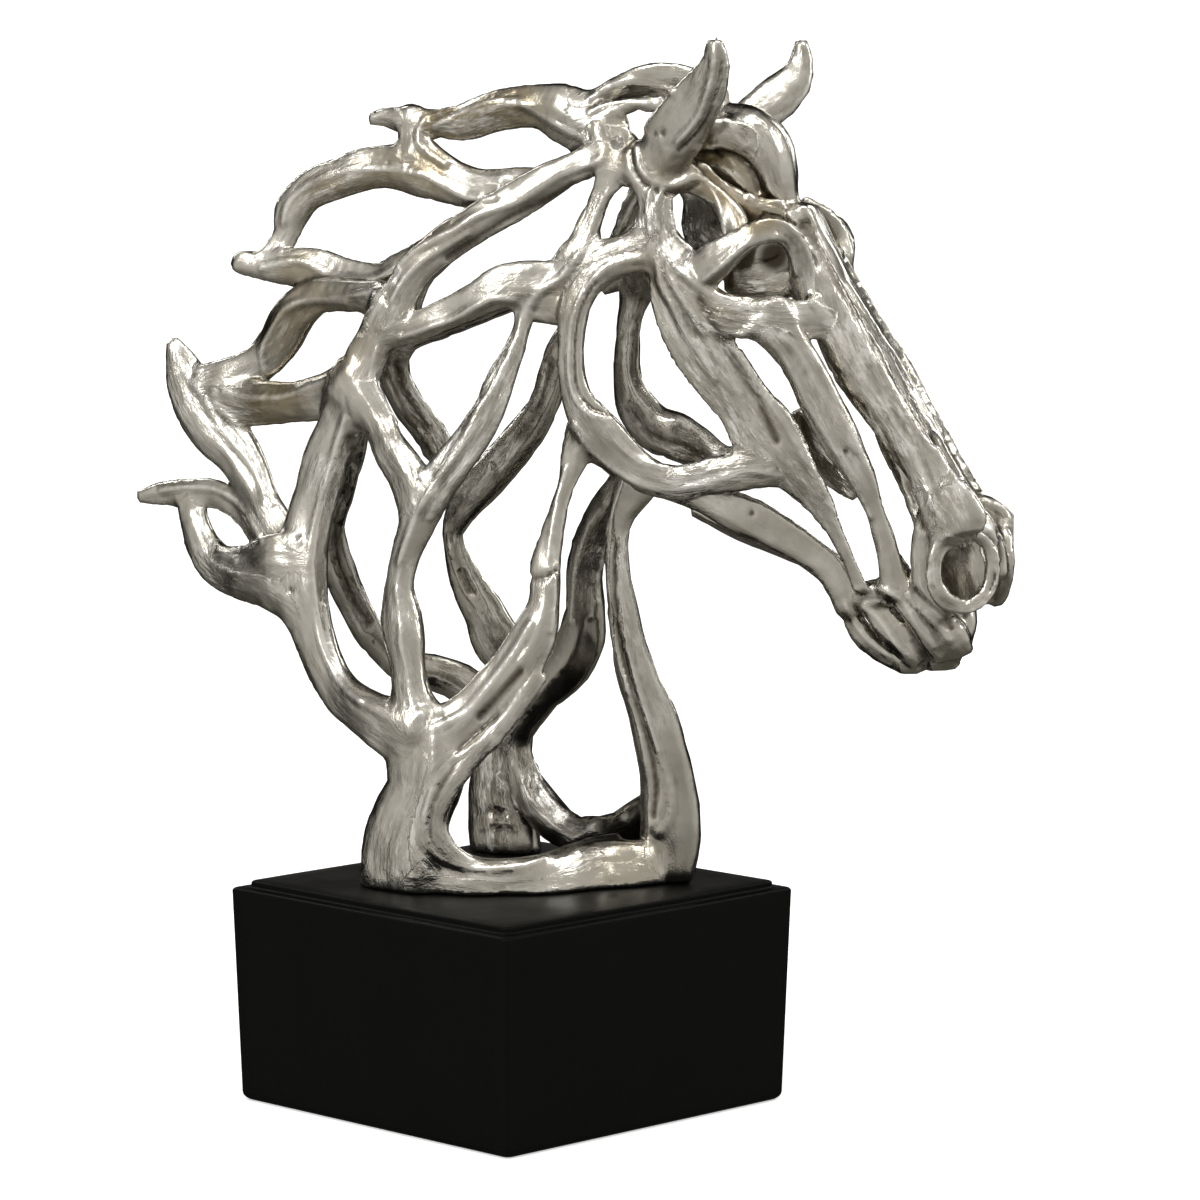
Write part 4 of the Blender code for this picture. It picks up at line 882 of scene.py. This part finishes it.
class Field:
    """A grid of cells round the horse that holds how far each corner lies from the resin."""

    def __init__(self, low, high):
        self.low = np.array(low, float)
        self.count = np.ceil((np.array(high) - self.low) / CELL).astype(int) + 1
        self.mass = np.zeros(self.count, np.float32)

    def window(self, low, high):
        """The first cell of the box between two points, and the one past its last."""
        first = np.maximum(np.floor((low - self.low) / CELL).astype(int), 0)
        last = np.minimum(np.ceil((high - self.low) / CELL).astype(int) + 1, self.count)
        return first, last

    def offsets(self, first, last, origin):
        """How far each grid line of the box lies from a point, along each axis."""
        return [
            (np.arange(first[k], last[k]) * CELL + self.low[k] - origin[k]).astype(np.float32)
            .reshape([-1 if axis == k else 1 for axis in range(3)]) for k in range(3)]

    def melt_in(self, depth_share, knots, mirrored, crest):
        """Adds a strand: the least distance to any stretch of it, then a soft sum.

        Past a stretch's ends the section's distance turns into that of a round end.
        """
        far_off = 1e3
        faintest = -60.0
        middle, half, across, outward = strand_line(depth_share, knots, mirrored)
        deepest = max(1.0, depth_share)
        margin = half.max() * deepest + REACH
        start, stop = self.window(middle.min(axis=0) - margin, middle.max(axis=0) + margin)
        near = np.full(stop - start, far_off, np.float32)
        for at in range(len(middle) - 1):
            a, b = middle[at], middle[at + 1]
            step = b - a
            length = np.linalg.norm(step)
            step /= length
            wide = max(half[at], half[at + 1]) * deepest + REACH
            first, last = self.window(np.minimum(a, b) - wide, np.maximum(a, b) + wide)
            offsets = self.offsets(first, last, a)
            run = dot(offsets, step)
            t = np.clip(run / length, 0.0, 1.0)
            past = np.abs(run - t * length)
            over_here, over_there, out_here, out_there = [
                dot(offsets, unit(side - step * (side @ step)))
                for side in (across[at], across[at + 1], outward[at], outward[at + 1])]
            width = half[at] + (half[at + 1] - half[at]) * t
            distance = section_distance(
                over_here + (over_there - over_here) * t, out_here + (out_there - out_here) * t,
                width, width * depth_share, crest)
            core = 0.5 * width
            round_end = (
                np.hypot(np.maximum(distance + core, 0), past) - core
                + np.minimum(distance + core, 0))
            distance = np.where(past > 0, round_end, distance)
            window = cells(first - start, last - start)
            near[window] = np.minimum(near[window], distance)
        self.mass[cells(start, stop)] += np.exp(np.maximum(-near, faintest) / FILLET)
        return middle, across, outward

    def close(self):
        """Negative inside the resin: minus the fillet times the logarithm of what was melted in."""
        least_mass = 1e-9
        self.value = -FILLET * np.log(np.maximum(self.mass, least_mass))
        del self.mass

    def stand_on(self, level):
        """Cuts off whatever lies below the level."""
        rise = self.low[2] + CELL * np.arange(self.count[2])
        self.value = np.maximum(self.value, (level - rise).astype(np.float32))

    def drill(self, holes):
        """Opens a round hole along each sight line: (across, down, radius)."""
        for offset, radius in zip(from_aim(holes), holes[:, 2]):
            for behind in np.arange(-SIGHT_REACH, SIGHT_REACH, radius):
                point = on_sight_line(offset, behind)
                first, last = self.window(point - 2 * radius, point + 2 * radius)
                x, y, z = offsets = self.offsets(first, last, point)
                along = dot(offsets, LOOK)
                off = np.sqrt(np.maximum(x * x + y * y + z * z - along * along, 0.0))
                window = cells(first, last)
                self.value[window] = np.maximum(self.value[window], radius - off)

    def sample(self, grid, points, spacing=CELL):
        """A grid's value at each point: its eight corners' values by how near they lie."""
        just_inside = 1.001
        at = np.clip((points - self.low) / spacing, 0, np.array(grid.shape) - just_inside)
        base = at.astype(int)
        return between_corners(base, at - base, lambda corner: grid[tuple(corner.T)])

    def seen_from_eye(self, sheet_points):
        """Where each sheet point's sight line first meets the resin, and whether it does."""
        offset = from_aim(sheet_points)
        hits = np.zeros((len(sheet_points), 3))
        met = np.zeros(len(sheet_points), bool)
        for behind in np.arange(-SIGHT_REACH, SIGHT_REACH, SIGHT_STEP):
            waiting = np.nonzero(~met)[0]
            points = on_sight_line(offset[waiting], behind)
            inside = self.sample(self.value, points) < 0
            hits[waiting[inside]] = points[inside]
            met[waiting[inside]] = True
        return hits, met

    def work_over(self, marks):
        """Lifts or sinks the skin round the marked sheet points: (across, down, rise, reach).

        A mark fades evenly to nothing at its reach, and the stronger of two marks counts.
        What was drawn where is kept for the coat's painted highlight on ridges and painted shade in
        grooves.
        """
        hits, met = self.seen_from_eye(marks)
        moved = np.zeros_like(self.value)
        self.drawn = np.zeros(self.value.shape, np.int8)
        for point, (rise, reach) in zip(hits[met], marks[met, 2:]):
            first, last = self.window(point - reach, point + reach)
            x, y, z = self.offsets(first, last, point)
            share = np.maximum(1.0 - np.sqrt(x * x + y * y + z * z) / reach, 0.0)
            window = cells(first, last)
            stronger = np.abs(rise) * share > np.abs(moved[window])
            moved[window] = np.where(stronger, rise * share, moved[window])
            drawn = np.round(DRAWN_STEPS * math.copysign(1.0, rise) * share)
            self.drawn[window] = np.where(stronger, drawn, self.drawn[window])
        self.value -= moved


def surface_net(value, low):
    """One point in each cell that the surface crosses, at the mean of the edge crossings.

    Every grid edge with one end inside and one outside gives a four-sided face between the
    four cells round it.
    """
    inside = value < 0
    count = np.array(value.shape)
    axes = np.eye(3, dtype=int)
    owners, crossings, flips = [], [], []
    for axis, step in enumerate(axes):
        at = np.argwhere(np.diff(inside, axis=axis))
        here = value[tuple(at.T)]
        there = value[tuple((at + step).T)]
        crossings.append(at + (here / (here - there))[:, None] * step)
        first = axes[(axis + 1) % 3]
        second = axes[(axis + 2) % 3]
        corners = [at, at - first, at - first - second, at - second]
        owners.append(np.stack([np.ravel_multi_index(c.T, count) for c in corners], axis=1))
        flips.append(here > 0)
    owners = np.vstack(owners)
    crossings = np.repeat(np.vstack(crossings), 4, axis=0)
    flips = np.concatenate(flips)
    _, quads = np.unique(owners.ravel(), return_inverse=True)
    tally = np.bincount(quads)
    points = np.column_stack([np.bincount(quads, crossings[:, k]) / tally for k in range(3)])
    quads = quads.reshape(-1, 4)
    quads[flips] = quads[flips][:, ::-1]
    return points * CELL + low, quads


def neighbours(quads, count):
    """The two ends of every edge, once in each direction."""
    sides = np.vstack([quads[:, [k, (k + 1) % 4]] for k in range(4)])
    keys = np.unique(sides.min(axis=1) * count + sides.max(axis=1))
    low, high = keys // count, keys % count
    return np.concatenate([low, high]), np.concatenate([high, low])


def relaxed(points, ends, others, shares):
    """Each point moved by a share of the way to the mean of its neighbours, share by share."""
    tally = np.bincount(ends, minlength=len(points))[:, None]
    for share in shares:
        mean = np.column_stack([
            np.bincount(ends, column[others], len(points)) for column in points.T]) / tally
        points = points + share * (mean - points)
    return points


def outward_normals(points, quads):
    """The mean direction of the faces round each point, from the cross of their diagonals."""
    tiny = 1e-9
    facing = np.cross(points[quads[:, 2]] - points[quads[:, 0]],
                      points[quads[:, 3]] - points[quads[:, 1]])
    total = np.column_stack([
        np.bincount(quads.ravel(), np.repeat(facing[:, k], 4), len(points)) for k in range(3)])
    return total / np.maximum(np.linalg.norm(total, axis=1, keepdims=True), tiny)


field = Field(FIELD_LOW, FIELD_HIGH)
routes = []
for strands, mirrored in (
        (NECK_NEAR, False), (MANE, False), (NECK_FAR, False), (HEAD_NEAR, False),
        (HEAD_MIDDLE, False), (MUZZLE, False), (HEAD_FAR, False), (HEAD_MIRRORED, True),
        (EARS, False)):
    for name, (depth_share, knots) in strands.items():
        routes.append(field.melt_in(depth_share, knots, mirrored, CREST.get(name, 0.0)))
field.close()
marks = [
    np.column_stack([path, np.full(len(path), rise), np.full(len(path), reach)])
    for lines in TOOL_LINES.values()
    for rise, reach, line in lines
    for path in [smooth_route(np.array(line, float), False, TOOL_STEP)]]
field.work_over(np.vstack(marks + [np.array(BEADS, float)]))
field.drill(np.array(HOLES, float))
field.stand_on(GLUE_LINE / UNIT)
cast_points, cast_faces = surface_net(field.value, field.low)
ends, others = neighbours(cast_faces, len(cast_points))
EVENING = (0.5, -0.4, 0.5)  # takes the grid's steps out and gives the form its size back
cast_points = relaxed(cast_points, ends, others, EVENING)

# The hand-worked skin, in sheet units: slow lumps, smaller dents, the knife's facets and
# strokes along each strand, and the crumple that a spatula leaves on some patches.
LUMP_SIZE = 36.0            # 12 mm between slow lumps
LUMP_RISE = 1.2
DENT_SIZE = 15.0            # 5 mm between dents
DENT_RISE = 0.3
CRUMPLE_SIZE = 6.5          # 2 mm between the folds of the crumple
CRUMPLE_RISE = 0.6
CRUMPLE_PATCH = 60.0        # 20 mm across a patch that was worked over
CRUMPLE_COVER = 0.5         # how much of the casting is crumpled
CRUMPLE_CONTRAST = 1.2      # how sharply the patches end
FINE_FOLD_SHARE = 0.5       # the size and height of the finer folds, beside the others
FACET_SIZE = 42.0           # 15 mm between the dents of the modelling knife
FACET_RISE = 1.4
STROKE_WIDTH = 17.0         # 6 mm across one stroke of the knife along a strand
STROKE_STRETCH = 3.6        # and this many times as long
STROKE_RISE = 1.8
STROKE_SOFTENING = (0.5,) * 4
STREAK_WIDTH = 6.0          # 2 mm between the streaks inside a stroke
STREAK_RISE = 0.3
STRAND_APART = 211.0        # shifts the strokes from one strand to the next
BORDER_SPREAD = (1.0,) * 10     # carries a border between strands to the points beside it
BORDER_WEIGHT = 4.0         # how fast the strokes fade towards a border
LUMP_SEED, DENT_SEED, FOLD_SEED, FINE_FOLD_SEED, PATCH_SEED = 1, 2, 3, 4, 5
FACET_SEED, STROKE_SEED, STREAK_SEED = 7, 8, 9


def lattice_noise(points, size, seed):
    """From -1 to 1: random numbers a size apart in space, blended smoothly in between."""
    across = 64
    numbers = np.random.default_rng(seed).uniform(-1.0, 1.0, (across, across, across))
    at = points / size
    base = np.floor(at).astype(int)
    part = at - base
    eased = part * part * (3.0 - 2.0 * part)
    return between_corners(base, eased, lambda corner: numbers[tuple((corner % across).T)])


def facets(points, size, seed):
    """Shallow dents that meet in crests: how far each point is from the nearest of many seeds.

    One seed lies somewhere in each box of space, so only the boxes next to a point count.
    The usual distance is taken off, so that the dents are as deep as the crests are high.
    """
    across = 32
    farthest = 9.0
    usual = 0.5
    jitter = np.random.default_rng(seed).uniform(0.0, 1.0, (across, across, across, 3))
    at = points / size
    base = np.floor(at).astype(int)
    nearest = np.full(len(points), farthest)
    for step in np.ndindex(3, 3, 3):
        box = base + np.array(step) - 1
        gap = at - box - jitter[tuple((box % across).T)]
        nearest = np.minimum(nearest, (gap * gap).sum(axis=1))
    return np.sqrt(nearest) - usual


def along_strands(points, routes):
    """Each point's nearest strand, and how far along, across and outwards it lies on it.

    The nearest middle is the one whose own square, halved, is least beside its product
    with the point.  The points are taken in batches, to save memory.
    """
    batches = 64
    middles = np.vstack([middle for middle, _, _ in routes])
    across = np.vstack([sides for _, sides, _ in routes])
    outward = np.vstack([sides for _, _, sides in routes])
    forward = np.cross(across, outward)
    run = np.concatenate([
        number * STRAND_APART
        + np.append(0.0, np.cumsum(np.linalg.norm(np.diff(middle, axis=0), axis=1)))
        for number, (middle, _, _) in enumerate(routes)])
    half_squares = (middles * middles).sum(axis=1) / 2
    nearest = np.concatenate([
        np.argmin(half_squares - batch @ middles.T, axis=1)
        for batch in np.array_split(points, batches)])
    off = points - middles[nearest]
    owner = np.repeat(np.arange(len(routes)), [len(middle) for middle, _, _ in routes])
    return owner[nearest], np.column_stack([
        run[nearest] - (off * forward[nearest]).sum(axis=1),
        (off * across[nearest]).sum(axis=1), (off * outward[nearest]).sum(axis=1)])


out = outward_normals(cast_points, cast_faces)
owner, flow = along_strands(cast_points, routes)
flow /= (STROKE_STRETCH, 1.0, 1.0)
border = np.bincount(ends, owner[ends] != owner[others], len(cast_points)) > 0
border = relaxed(border[:, None].astype(float), ends, others, BORDER_SPREAD)[:, 0]
inside_strand = np.clip(1.0 - BORDER_WEIGHT * border, 0.0, 1.0)
crumpled = np.clip(
    CRUMPLE_COVER + CRUMPLE_CONTRAST * lattice_noise(cast_points, CRUMPLE_PATCH, PATCH_SEED),
    0.0, 1.0)
folds = 0.5 - np.abs(lattice_noise(cast_points, CRUMPLE_SIZE, FOLD_SEED))
fine_folds = FINE_FOLD_SHARE * lattice_noise(
    cast_points, CRUMPLE_SIZE * FINE_FOLD_SHARE, FINE_FOLD_SEED)
lift = (
    LUMP_RISE * lattice_noise(cast_points, LUMP_SIZE, LUMP_SEED)
    + DENT_RISE * lattice_noise(cast_points, DENT_SIZE, DENT_SEED)
    + FACET_RISE * facets(cast_points, FACET_SIZE, FACET_SEED)
    + STROKE_RISE * inside_strand * facets(flow, STROKE_WIDTH, STROKE_SEED)
    + CRUMPLE_RISE * crumpled * (folds + fine_folds))
lift = relaxed(lift[:, None], ends, others, STROKE_SOFTENING)
lift += STREAK_RISE * lattice_noise(flow, STREAK_WIDTH, STREAK_SEED)[:, None]
cast_points = cast_points + out * lift

# What the painted light and the brown wash follow: painted shade on inner faces, in sheltered places
# and in creases, partly with the wash that stays there; painted highlight on crests and on the tool's
# ridges, painted shade in its grooves; and the spots of wash or painted shade.
MIDDLE_WIDTH = 25.0         # strands this near the middle plane have no inner face
INNER_SHADE_START = 0.75           # the painted shade starts where a face looks outwards less than this
INNER_SHADE_FULL = 1.5
UNDERSIDE_SHARE = 1.6       # how fast the painted shade fades on a face that looks up
SHELTER_REACH = 16.0        # how far off the skin its shelter is looked at
SHELTER_STRIDE = 4          # cells of the field to one cell of the shelter's grid
SHELTER_BLUR = 3
CREST_SMOOTHING = (0.6,) * 10
CREASE_SMOOTHING = (0.5,) * 3
SPOT_EDGE = 2.0             # a spot is full in its inner half


def blurred(grid, rounds):
    """The mean of each cell and its two neighbours, along each axis in turn, some rounds."""
    for _ in range(rounds):
        for axis in range(3):
            padding = [(1, 1) if k == axis else (0, 0) for k in range(3)]
            line = np.moveaxis(np.pad(grid, padding), axis, 0)
            grid = np.moveaxis((line[:-2] + line[1:-1] + line[2:]) / 3, 0, axis)
    return grid


out = outward_normals(cast_points, cast_faces)
side = np.clip((cast_points @ FAR_SIDE - MIDDLE_PLANE) / MIDDLE_WIDTH, -1.0, 1.0)
sideways = out @ FAR_SIDE
outer_face = side * sideways + (1.0 - np.abs(side)) * np.abs(sideways)
upward_fade = np.clip(1.0 - UNDERSIDE_SHARE * out[:, 2], 0.0, 1.0)
# painted shade on the inner faces, less where they look up
painted_inner_shade = np.clip(INNER_SHADE_START - outer_face, 0.0, INNER_SHADE_FULL) * upward_fade
stride = slice(None, None, SHELTER_STRIDE)
# painted shade, partly the wash that stays in such places: how much resin lies round each point
filled = blurred((field.value[stride, stride, stride] < 0).astype(np.float32), SHELTER_BLUR)
sheltered_shade_and_wash = field.sample(filled, cast_points + SHELTER_REACH * out, SHELTER_STRIDE * CELL)
# painted highlight on the crests, partly burnish
flat = relaxed(cast_points, ends, others, CREST_SMOOTHING)
crest = ((cast_points - flat) * out).sum(axis=1)
# painted shade in the creases, partly the wash that stays there
fine = relaxed(cast_points, ends, others, CREASE_SMOOTHING)
crease_shade_and_wash = ((cast_points - fine) * out).sum(axis=1)
# painted highlight on the tool's ridges, painted shade in its grooves, partly the wash
drawn = field.sample(field.drawn, cast_points) / DRAWN_STEPS
across, down = on_sheet(cast_points)
wash_and_shade = np.zeros(len(cast_points))
foiled = np.zeros(len(cast_points))
for layer, spots in ((wash_and_shade, WASH_AND_SHADE_SPOTS), (foiled, FOIL_SPOTS)):
    for spot_across, spot_down, reach, strength in spots:
        near = 1.0 - np.hypot(across - spot_across, down - spot_down) / reach
        share = strength * np.clip(near * SPOT_EDGE, 0.0, 1.0)
        layer[:] = np.where(np.abs(share) > np.abs(layer), share, layer)

# the feet are cut flat, and stand on the glue line
floor_level = BLOCK_HEIGHT + PANEL_RISE + GLUE_LINE
foot_points = cast_points[:, 2] < GLUE_LINE / UNIT + 0.5 * CELL
cast_points = on_block(cast_points)
cast_points[foot_points, 2] = floor_level
cast_points[:, 2] = np.maximum(cast_points[:, 2], floor_level)

# Champagne silver: a bright metallic spray coat over the cast resin with an olive-brown wash; its
# crests are lighter, as painted highlight and burnish, and its creases and inner faces darker, as
# painted shade and wash.
resin, tree, shader = new_surface("champagne silver spray coat with a brown wash")
place_on = add_node(tree, "ShaderNodeTexCoord").outputs["Object"]
along = add_node(tree, "ShaderNodeAttribute", {"attribute_name": "flow"}).outputs["Vector"]
# the coat's marks and wash, and the masks of its painted highlight and painted shade
coat_and_painted_light = {
    name: add_node(tree, "ShaderNodeAttribute", {"attribute_name": name}).outputs["Fac"]
    for name in ("painted_inner_shade", "sheltered_shade_and_wash", "crest", "crease_shade_and_wash", "wash_and_shade", "foiled", "drawn")}

# the coat's patterns, of which the glint streaks and the foil's colours are painted highlight and
# shade: (name, millimetres across a lump, detail, roughness, laid on)
for name, size_mm, detail, roughness, laid_on in (
        ("patch", 18.0, 3.0, 0.55, place_on), ("rubbed", 24.0, 2.0, 0.55, place_on),
        ("glint_streaks", 4.5, 3.0, 0.6, along), ("foil", 1.7, 3.0, 0.6, along),
        ("speckle", 1.1, 3.0, 0.65, place_on), ("grain", 0.7, 2.0, 0.55, place_on)):
    coat_and_painted_light[name] = add_node(
        tree, "ShaderNodeTexNoise",
        {"Scale": 1000.0 / size_mm, "Detail": detail, "Roughness": roughness},
        {"Vector": laid_on}).outputs["Fac"]

# where the foil and its painted glints lie, how uneven the wash is, how dull the coat is, how deep the
# foil is:
# (name, follows, from, to, value there, value here)
for name, follows, low, high, at_low, at_high in (
        ("worked", "rubbed", 0.45, 0.60, 0.0, 0.5), ("uneven", "patch", 0.3, 0.7, 0.4, 0.95),
        ("dull", "patch", 0.3, 0.7, 0.15, 0.28), ("folded", "worked", 0.0, 1.0, 0.12, 0.6)):
    coat_and_painted_light[name] = add_node(
        tree, "ShaderNodeMapRange",
        {"From Min": low, "From Max": high, "To Min": at_low, "To Max": at_high},
        {"Value": coat_and_painted_light[follows]}).outputs["Result"]
    if name == "worked":
        coat_and_painted_light[name] = add_node(
            tree, "ShaderNodeMath", {"operation": "MAXIMUM"},
            {0: coat_and_painted_light[name], 1: coat_and_painted_light["foiled"]}).outputs["Value"]

# the layers of the coat, the first one at the bottom; some are painted highlight and
# painted shade: (follows, starts at, full at, share when full, held back by, colour)
tone = add_node(tree, "ShaderNodeRGB")
tone.outputs["Color"].default_value = linear("#b3afa4")
tone = tone.outputs["Color"]
for follows, low, high, share, held_by, colour in (
        ("patch", 0.35, 0.65, 1.0, None, "#c6c2b9"),
        # painted shade in sheltered places, partly the wash that stays there
        ("sheltered_shade_and_wash", 0.16, 0.42, 0.4, None, "#867f70"),
        # painted shade on the inner faces
        ("painted_inner_shade", 0.35, 1.3, 0.35, None, "#6b6557"),
        ("wash_and_shade", 0.0, 1.0, 1.0, "uneven", "#8c7d60"),
        # painted shade where a spot lies below nothing
        ("wash_and_shade", -0.1, -1.0, 0.9, None, "#2e2922"),
        # painted shade in the creases, partly the wash
        ("crease_shade_and_wash", -0.03, -0.25, 0.65, None, "#464033"),
        # painted highlight on the crests, partly burnish
        ("crest", 0.4, 1.8, 0.7, None, "#e9e6df"),
        # painted highlight on the tool's ridges, then painted shade in its grooves, partly the wash
        ("drawn", 0.3, 0.9, 0.75, None, "#f1efe9"),
        ("drawn", -0.25, -0.8, 0.85, None, "#453c2e"),
        # painted highlight and painted shade in streaks along the strands
        ("glint_streaks", 0.52, 0.60, 0.6, "worked", "#faf8f3"),
        ("glint_streaks", 0.45, 0.35, 0.35, "worked", "#4d4739"),
        # painted glints and painted shade on the foil's folds
        ("foil", 0.56, 0.66, 0.6, "worked", "#f6f4ee"),
        ("foil", 0.38, 0.30, 0.4, "worked", "#5f584a"),
        ("speckle", 0.36, 0.28, 0.5, "worked", "#3c372d")):
    laid = add_node(
        tree, "ShaderNodeMapRange", {"From Min": low, "From Max": high, "To Max": share},
        {"Value": coat_and_painted_light[follows]}).outputs["Result"]
    if held_by:
        laid = add_node(
            tree, "ShaderNodeMath", {"operation": "MULTIPLY"},
            {0: laid, 1: coat_and_painted_light[held_by]}).outputs["Value"]
    tone = add_node(
        tree, "ShaderNodeMix", {"data_type": "RGBA", MIX_OVER: linear(colour)},
        {MIX_SHARE: laid, MIX_UNDER: tone}).outputs[MIX_RESULT]
wrinkles = add_node(
    tree, "ShaderNodeBump", {"Distance": 0.0008},
    {"Height": coat_and_painted_light["foil"], "Strength": coat_and_painted_light["folded"]})
fine_grain = add_node(
    tree, "ShaderNodeBump", {"Strength": 0.2, "Distance": 0.0002},
    {"Height": coat_and_painted_light["grain"], "Normal": wrinkles.outputs["Normal"]})
shader.inputs["Metallic"].default_value = 1.0
tree.links.new(tone, shader.inputs["Base Color"])
tree.links.new(coat_and_painted_light["dull"], shader.inputs["Roughness"])
tree.links.new(fine_grain.outputs["Normal"], shader.inputs["Normal"])

horse = mesh_piece(
    "horse_cast", cast_points, cast_faces.tolist(), resin, "horse")
for name, values in (
        ("painted_inner_shade", painted_inner_shade), ("sheltered_shade_and_wash", sheltered_shade_and_wash), ("crest", crest), ("crease_shade_and_wash", crease_shade_and_wash),
        ("wash_and_shade", wash_and_shade), ("foiled", foiled), ("drawn", drawn)):
    layer = horse.data.attributes.new(name, "FLOAT", "POINT")
    layer.data.foreach_set("value", values.astype(np.float32))
layer = horse.data.attributes.new("flow", "FLOAT_VECTOR", "POINT")
layer.data.foreach_set("vector", (flow * UNIT).astype(np.float32).ravel())

# The casting is thinned to a weight that the library takes.  The faces that look towards
# the eye and outwards keep more of their points.
FACES_LEFT = 97000.0        # asked of the thinning, which counts them in its own way
LEAST_KEPT = 0.15           # how much a face that looks away keeps
FAR_SIDE_DROP = 0.5         # what the far side gives up
KEPT_LEVELS = 10
kept = (
    np.clip(LEAST_KEPT - (1.0 - LEAST_KEPT) * (out @ LOOK), LEAST_KEPT, 1.0)
    * np.clip(1.0 - FAR_SIDE_DROP * side, 1.0 - FAR_SIDE_DROP, 1.0))
group = horse.vertex_groups.new(name="kept")
for level in range(1, KEPT_LEVELS + 1):
    members = np.nonzero(np.ceil(kept * KEPT_LEVELS) == level)[0]
    group.add(members.tolist(), level / KEPT_LEVELS, "REPLACE")
thin = horse.modifiers.new("thin out", "DECIMATE")
thin.ratio = min(1.0, FACES_LEFT / len(cast_faces))
thin.vertex_group = "kept"
thin.invert_vertex_group = True
graph = bpy.context.evaluated_depsgraph_get()
thinned = bpy.data.meshes.new_from_object(horse.evaluated_get(graph))
thinned.validate()
horse.modifiers.clear()
horse.data = thinned


# The floor: white paper that runs up behind the object, as in a product photograph.
# It is kept out of reflections, as a cut-out photograph is.
SWEEP_NEAR = 3.0
SWEEP_FAR = 2.2
SWEEP_RISE = 2.5
SWEEP_ROUND = 0.6
SWEEP_HALF_WIDTH = 4.0
SWEEP_ROUND_POINTS = 17
look_along = np.array([-math.sin(SHEET_TURN), math.cos(SHEET_TURN), 0.0])
look_right = np.array([math.cos(SHEET_TURN), math.sin(SHEET_TURN), 0.0])
turn = np.linspace(0.0, math.pi / 2, SWEEP_ROUND_POINTS)
sweep = np.vstack([
    [[-SWEEP_NEAR, 0.0]],
    np.column_stack([SWEEP_FAR + SWEEP_ROUND * np.sin(turn), SWEEP_ROUND * (1 - np.cos(turn))]),
    [[SWEEP_FAR + SWEEP_ROUND, SWEEP_RISE]]])
edge = sweep[:, 0:1] * look_along + sweep[:, 1:2] * np.array([0.0, 0.0, 1.0])
floor_points = np.vstack([
    edge - SWEEP_HALF_WIDTH * look_right, edge + SWEEP_HALF_WIDTH * look_right])
row = np.arange(len(sweep) - 1)
floor_faces = np.column_stack([row, row + len(sweep), row + len(sweep) + 1, row + 1])
paper, tree, shader = new_surface("matt white paper")
shader.inputs["Base Color"].default_value = linear("#f4f4f4")
shader.inputs["Roughness"].default_value = 0.9
shader.inputs["Emission Color"].default_value = linear("#ffffff")
shader.inputs["Emission Strength"].default_value = 0.45
floor = new_object("floor", floor_points, floor_faces.tolist(), paper)
floor.visible_glossy = False


# The light: soft panels to the left, to the right, overhead and behind, in a dim room.
# Each panel: (name, right of the horse, towards the eye, up, width, height, watts).
AIM_HEIGHT = 0.2            # the panels face this height above the floor
for name, right, near, up, width, height, power in (
        ("left panel", -1.25, 0.75, 0.85, 0.35, 0.9, 6.5),
        ("right panel", 1.25, 0.85, 1.05, 0.25, 1.0, 6.0),
        ("top panel", -0.1, 0.6, 1.5, 0.9, 0.4, 7.5),
        ("back left panel", -1.0, -1.0, 0.9, 0.3, 1.0, 5.0),
        ("back right panel", 1.1, -0.9, 0.7, 0.3, 1.0, 5.0)):
    light = bpy.data.lights.new(name, "AREA")
    light.shape = "RECTANGLE"
    light.size = width
    light.size_y = height
    light.energy = power
    lamp = bpy.data.objects.new(name, light)
    stand = right * look_right - near * look_along
    lamp.location = (stand[0], stand[1], up + AIM_HEIGHT)
    lamp.rotation_euler = (
        math.atan2(math.hypot(right, near), up), 0.0,
        math.atan2(stand[1], stand[0]) + math.pi / 2)
    bpy.context.scene.collection.objects.link(lamp)
room = bpy.data.worlds.new("dim room")
room.use_nodes = True
tree = room.node_tree
direction = add_node(tree, "ShaderNodeTexCoord").outputs["Generated"]
bearing = {
    "height": add_node(tree, "ShaderNodeSeparateXYZ", None, {"Vector": direction}).outputs["Z"],
    "front": add_node(
        tree, "ShaderNodeVectorMath", {"operation": "DOT_PRODUCT", 1: -look_along},
        {0: direction}).outputs["Value"]}

# dark behind the horse, pale in front of it, a pale wall far behind, a dim ground:
# (follows, starts at, full at, colour)
tone = add_node(tree, "ShaderNodeRGB")
tone.outputs["Color"].default_value = linear("#1d1b17")
tone = tone.outputs["Color"]
for follows, low, high, colour in (
        ("front", -0.45, 0.20, "#e4e2de"), ("front", 0.80, 0.97, "#c9c7c2"),
        ("front", -0.93, -1.0, "#9a9893"), ("height", -0.1, -0.9, "#66645d")):
    laid = add_node(
        tree, "ShaderNodeMapRange", {"From Min": low, "From Max": high},
        {"Value": bearing[follows]}).outputs["Result"]
    tone = add_node(
        tree, "ShaderNodeMix", {"data_type": "RGBA", MIX_OVER: linear(colour)},
        {MIX_SHARE: laid, MIX_UNDER: tone}).outputs[MIX_RESULT]
tree.links.new(tone, tree.nodes["Background"].inputs["Color"])
tree.nodes["Background"].inputs["Strength"].default_value = 1.0
bpy.context.scene.world = room
bpy.context.scene.view_settings.view_transform = "Standard"


# The camera stands where the photograph was taken from, and its frame is the drawing
# sheet: one sheet unit is one pixel of the photograph.
SENSOR_MM = 36.0
camera = bpy.data.objects.new("camera", bpy.data.cameras.new("camera"))
camera.location = on_block(EYE[None])[0]
camera.rotation_euler = (math.pi / 2 - EYE_PITCH, 0.0, SHEET_TURN)
camera.data.sensor_width = SENSOR_MM
camera.data.lens = EYE_DISTANCE / SHEET_SIDE * SENSOR_MM
camera.data.clip_end = 20.0
bpy.context.scene.collection.objects.link(camera)
bpy.context.scene.camera = camera
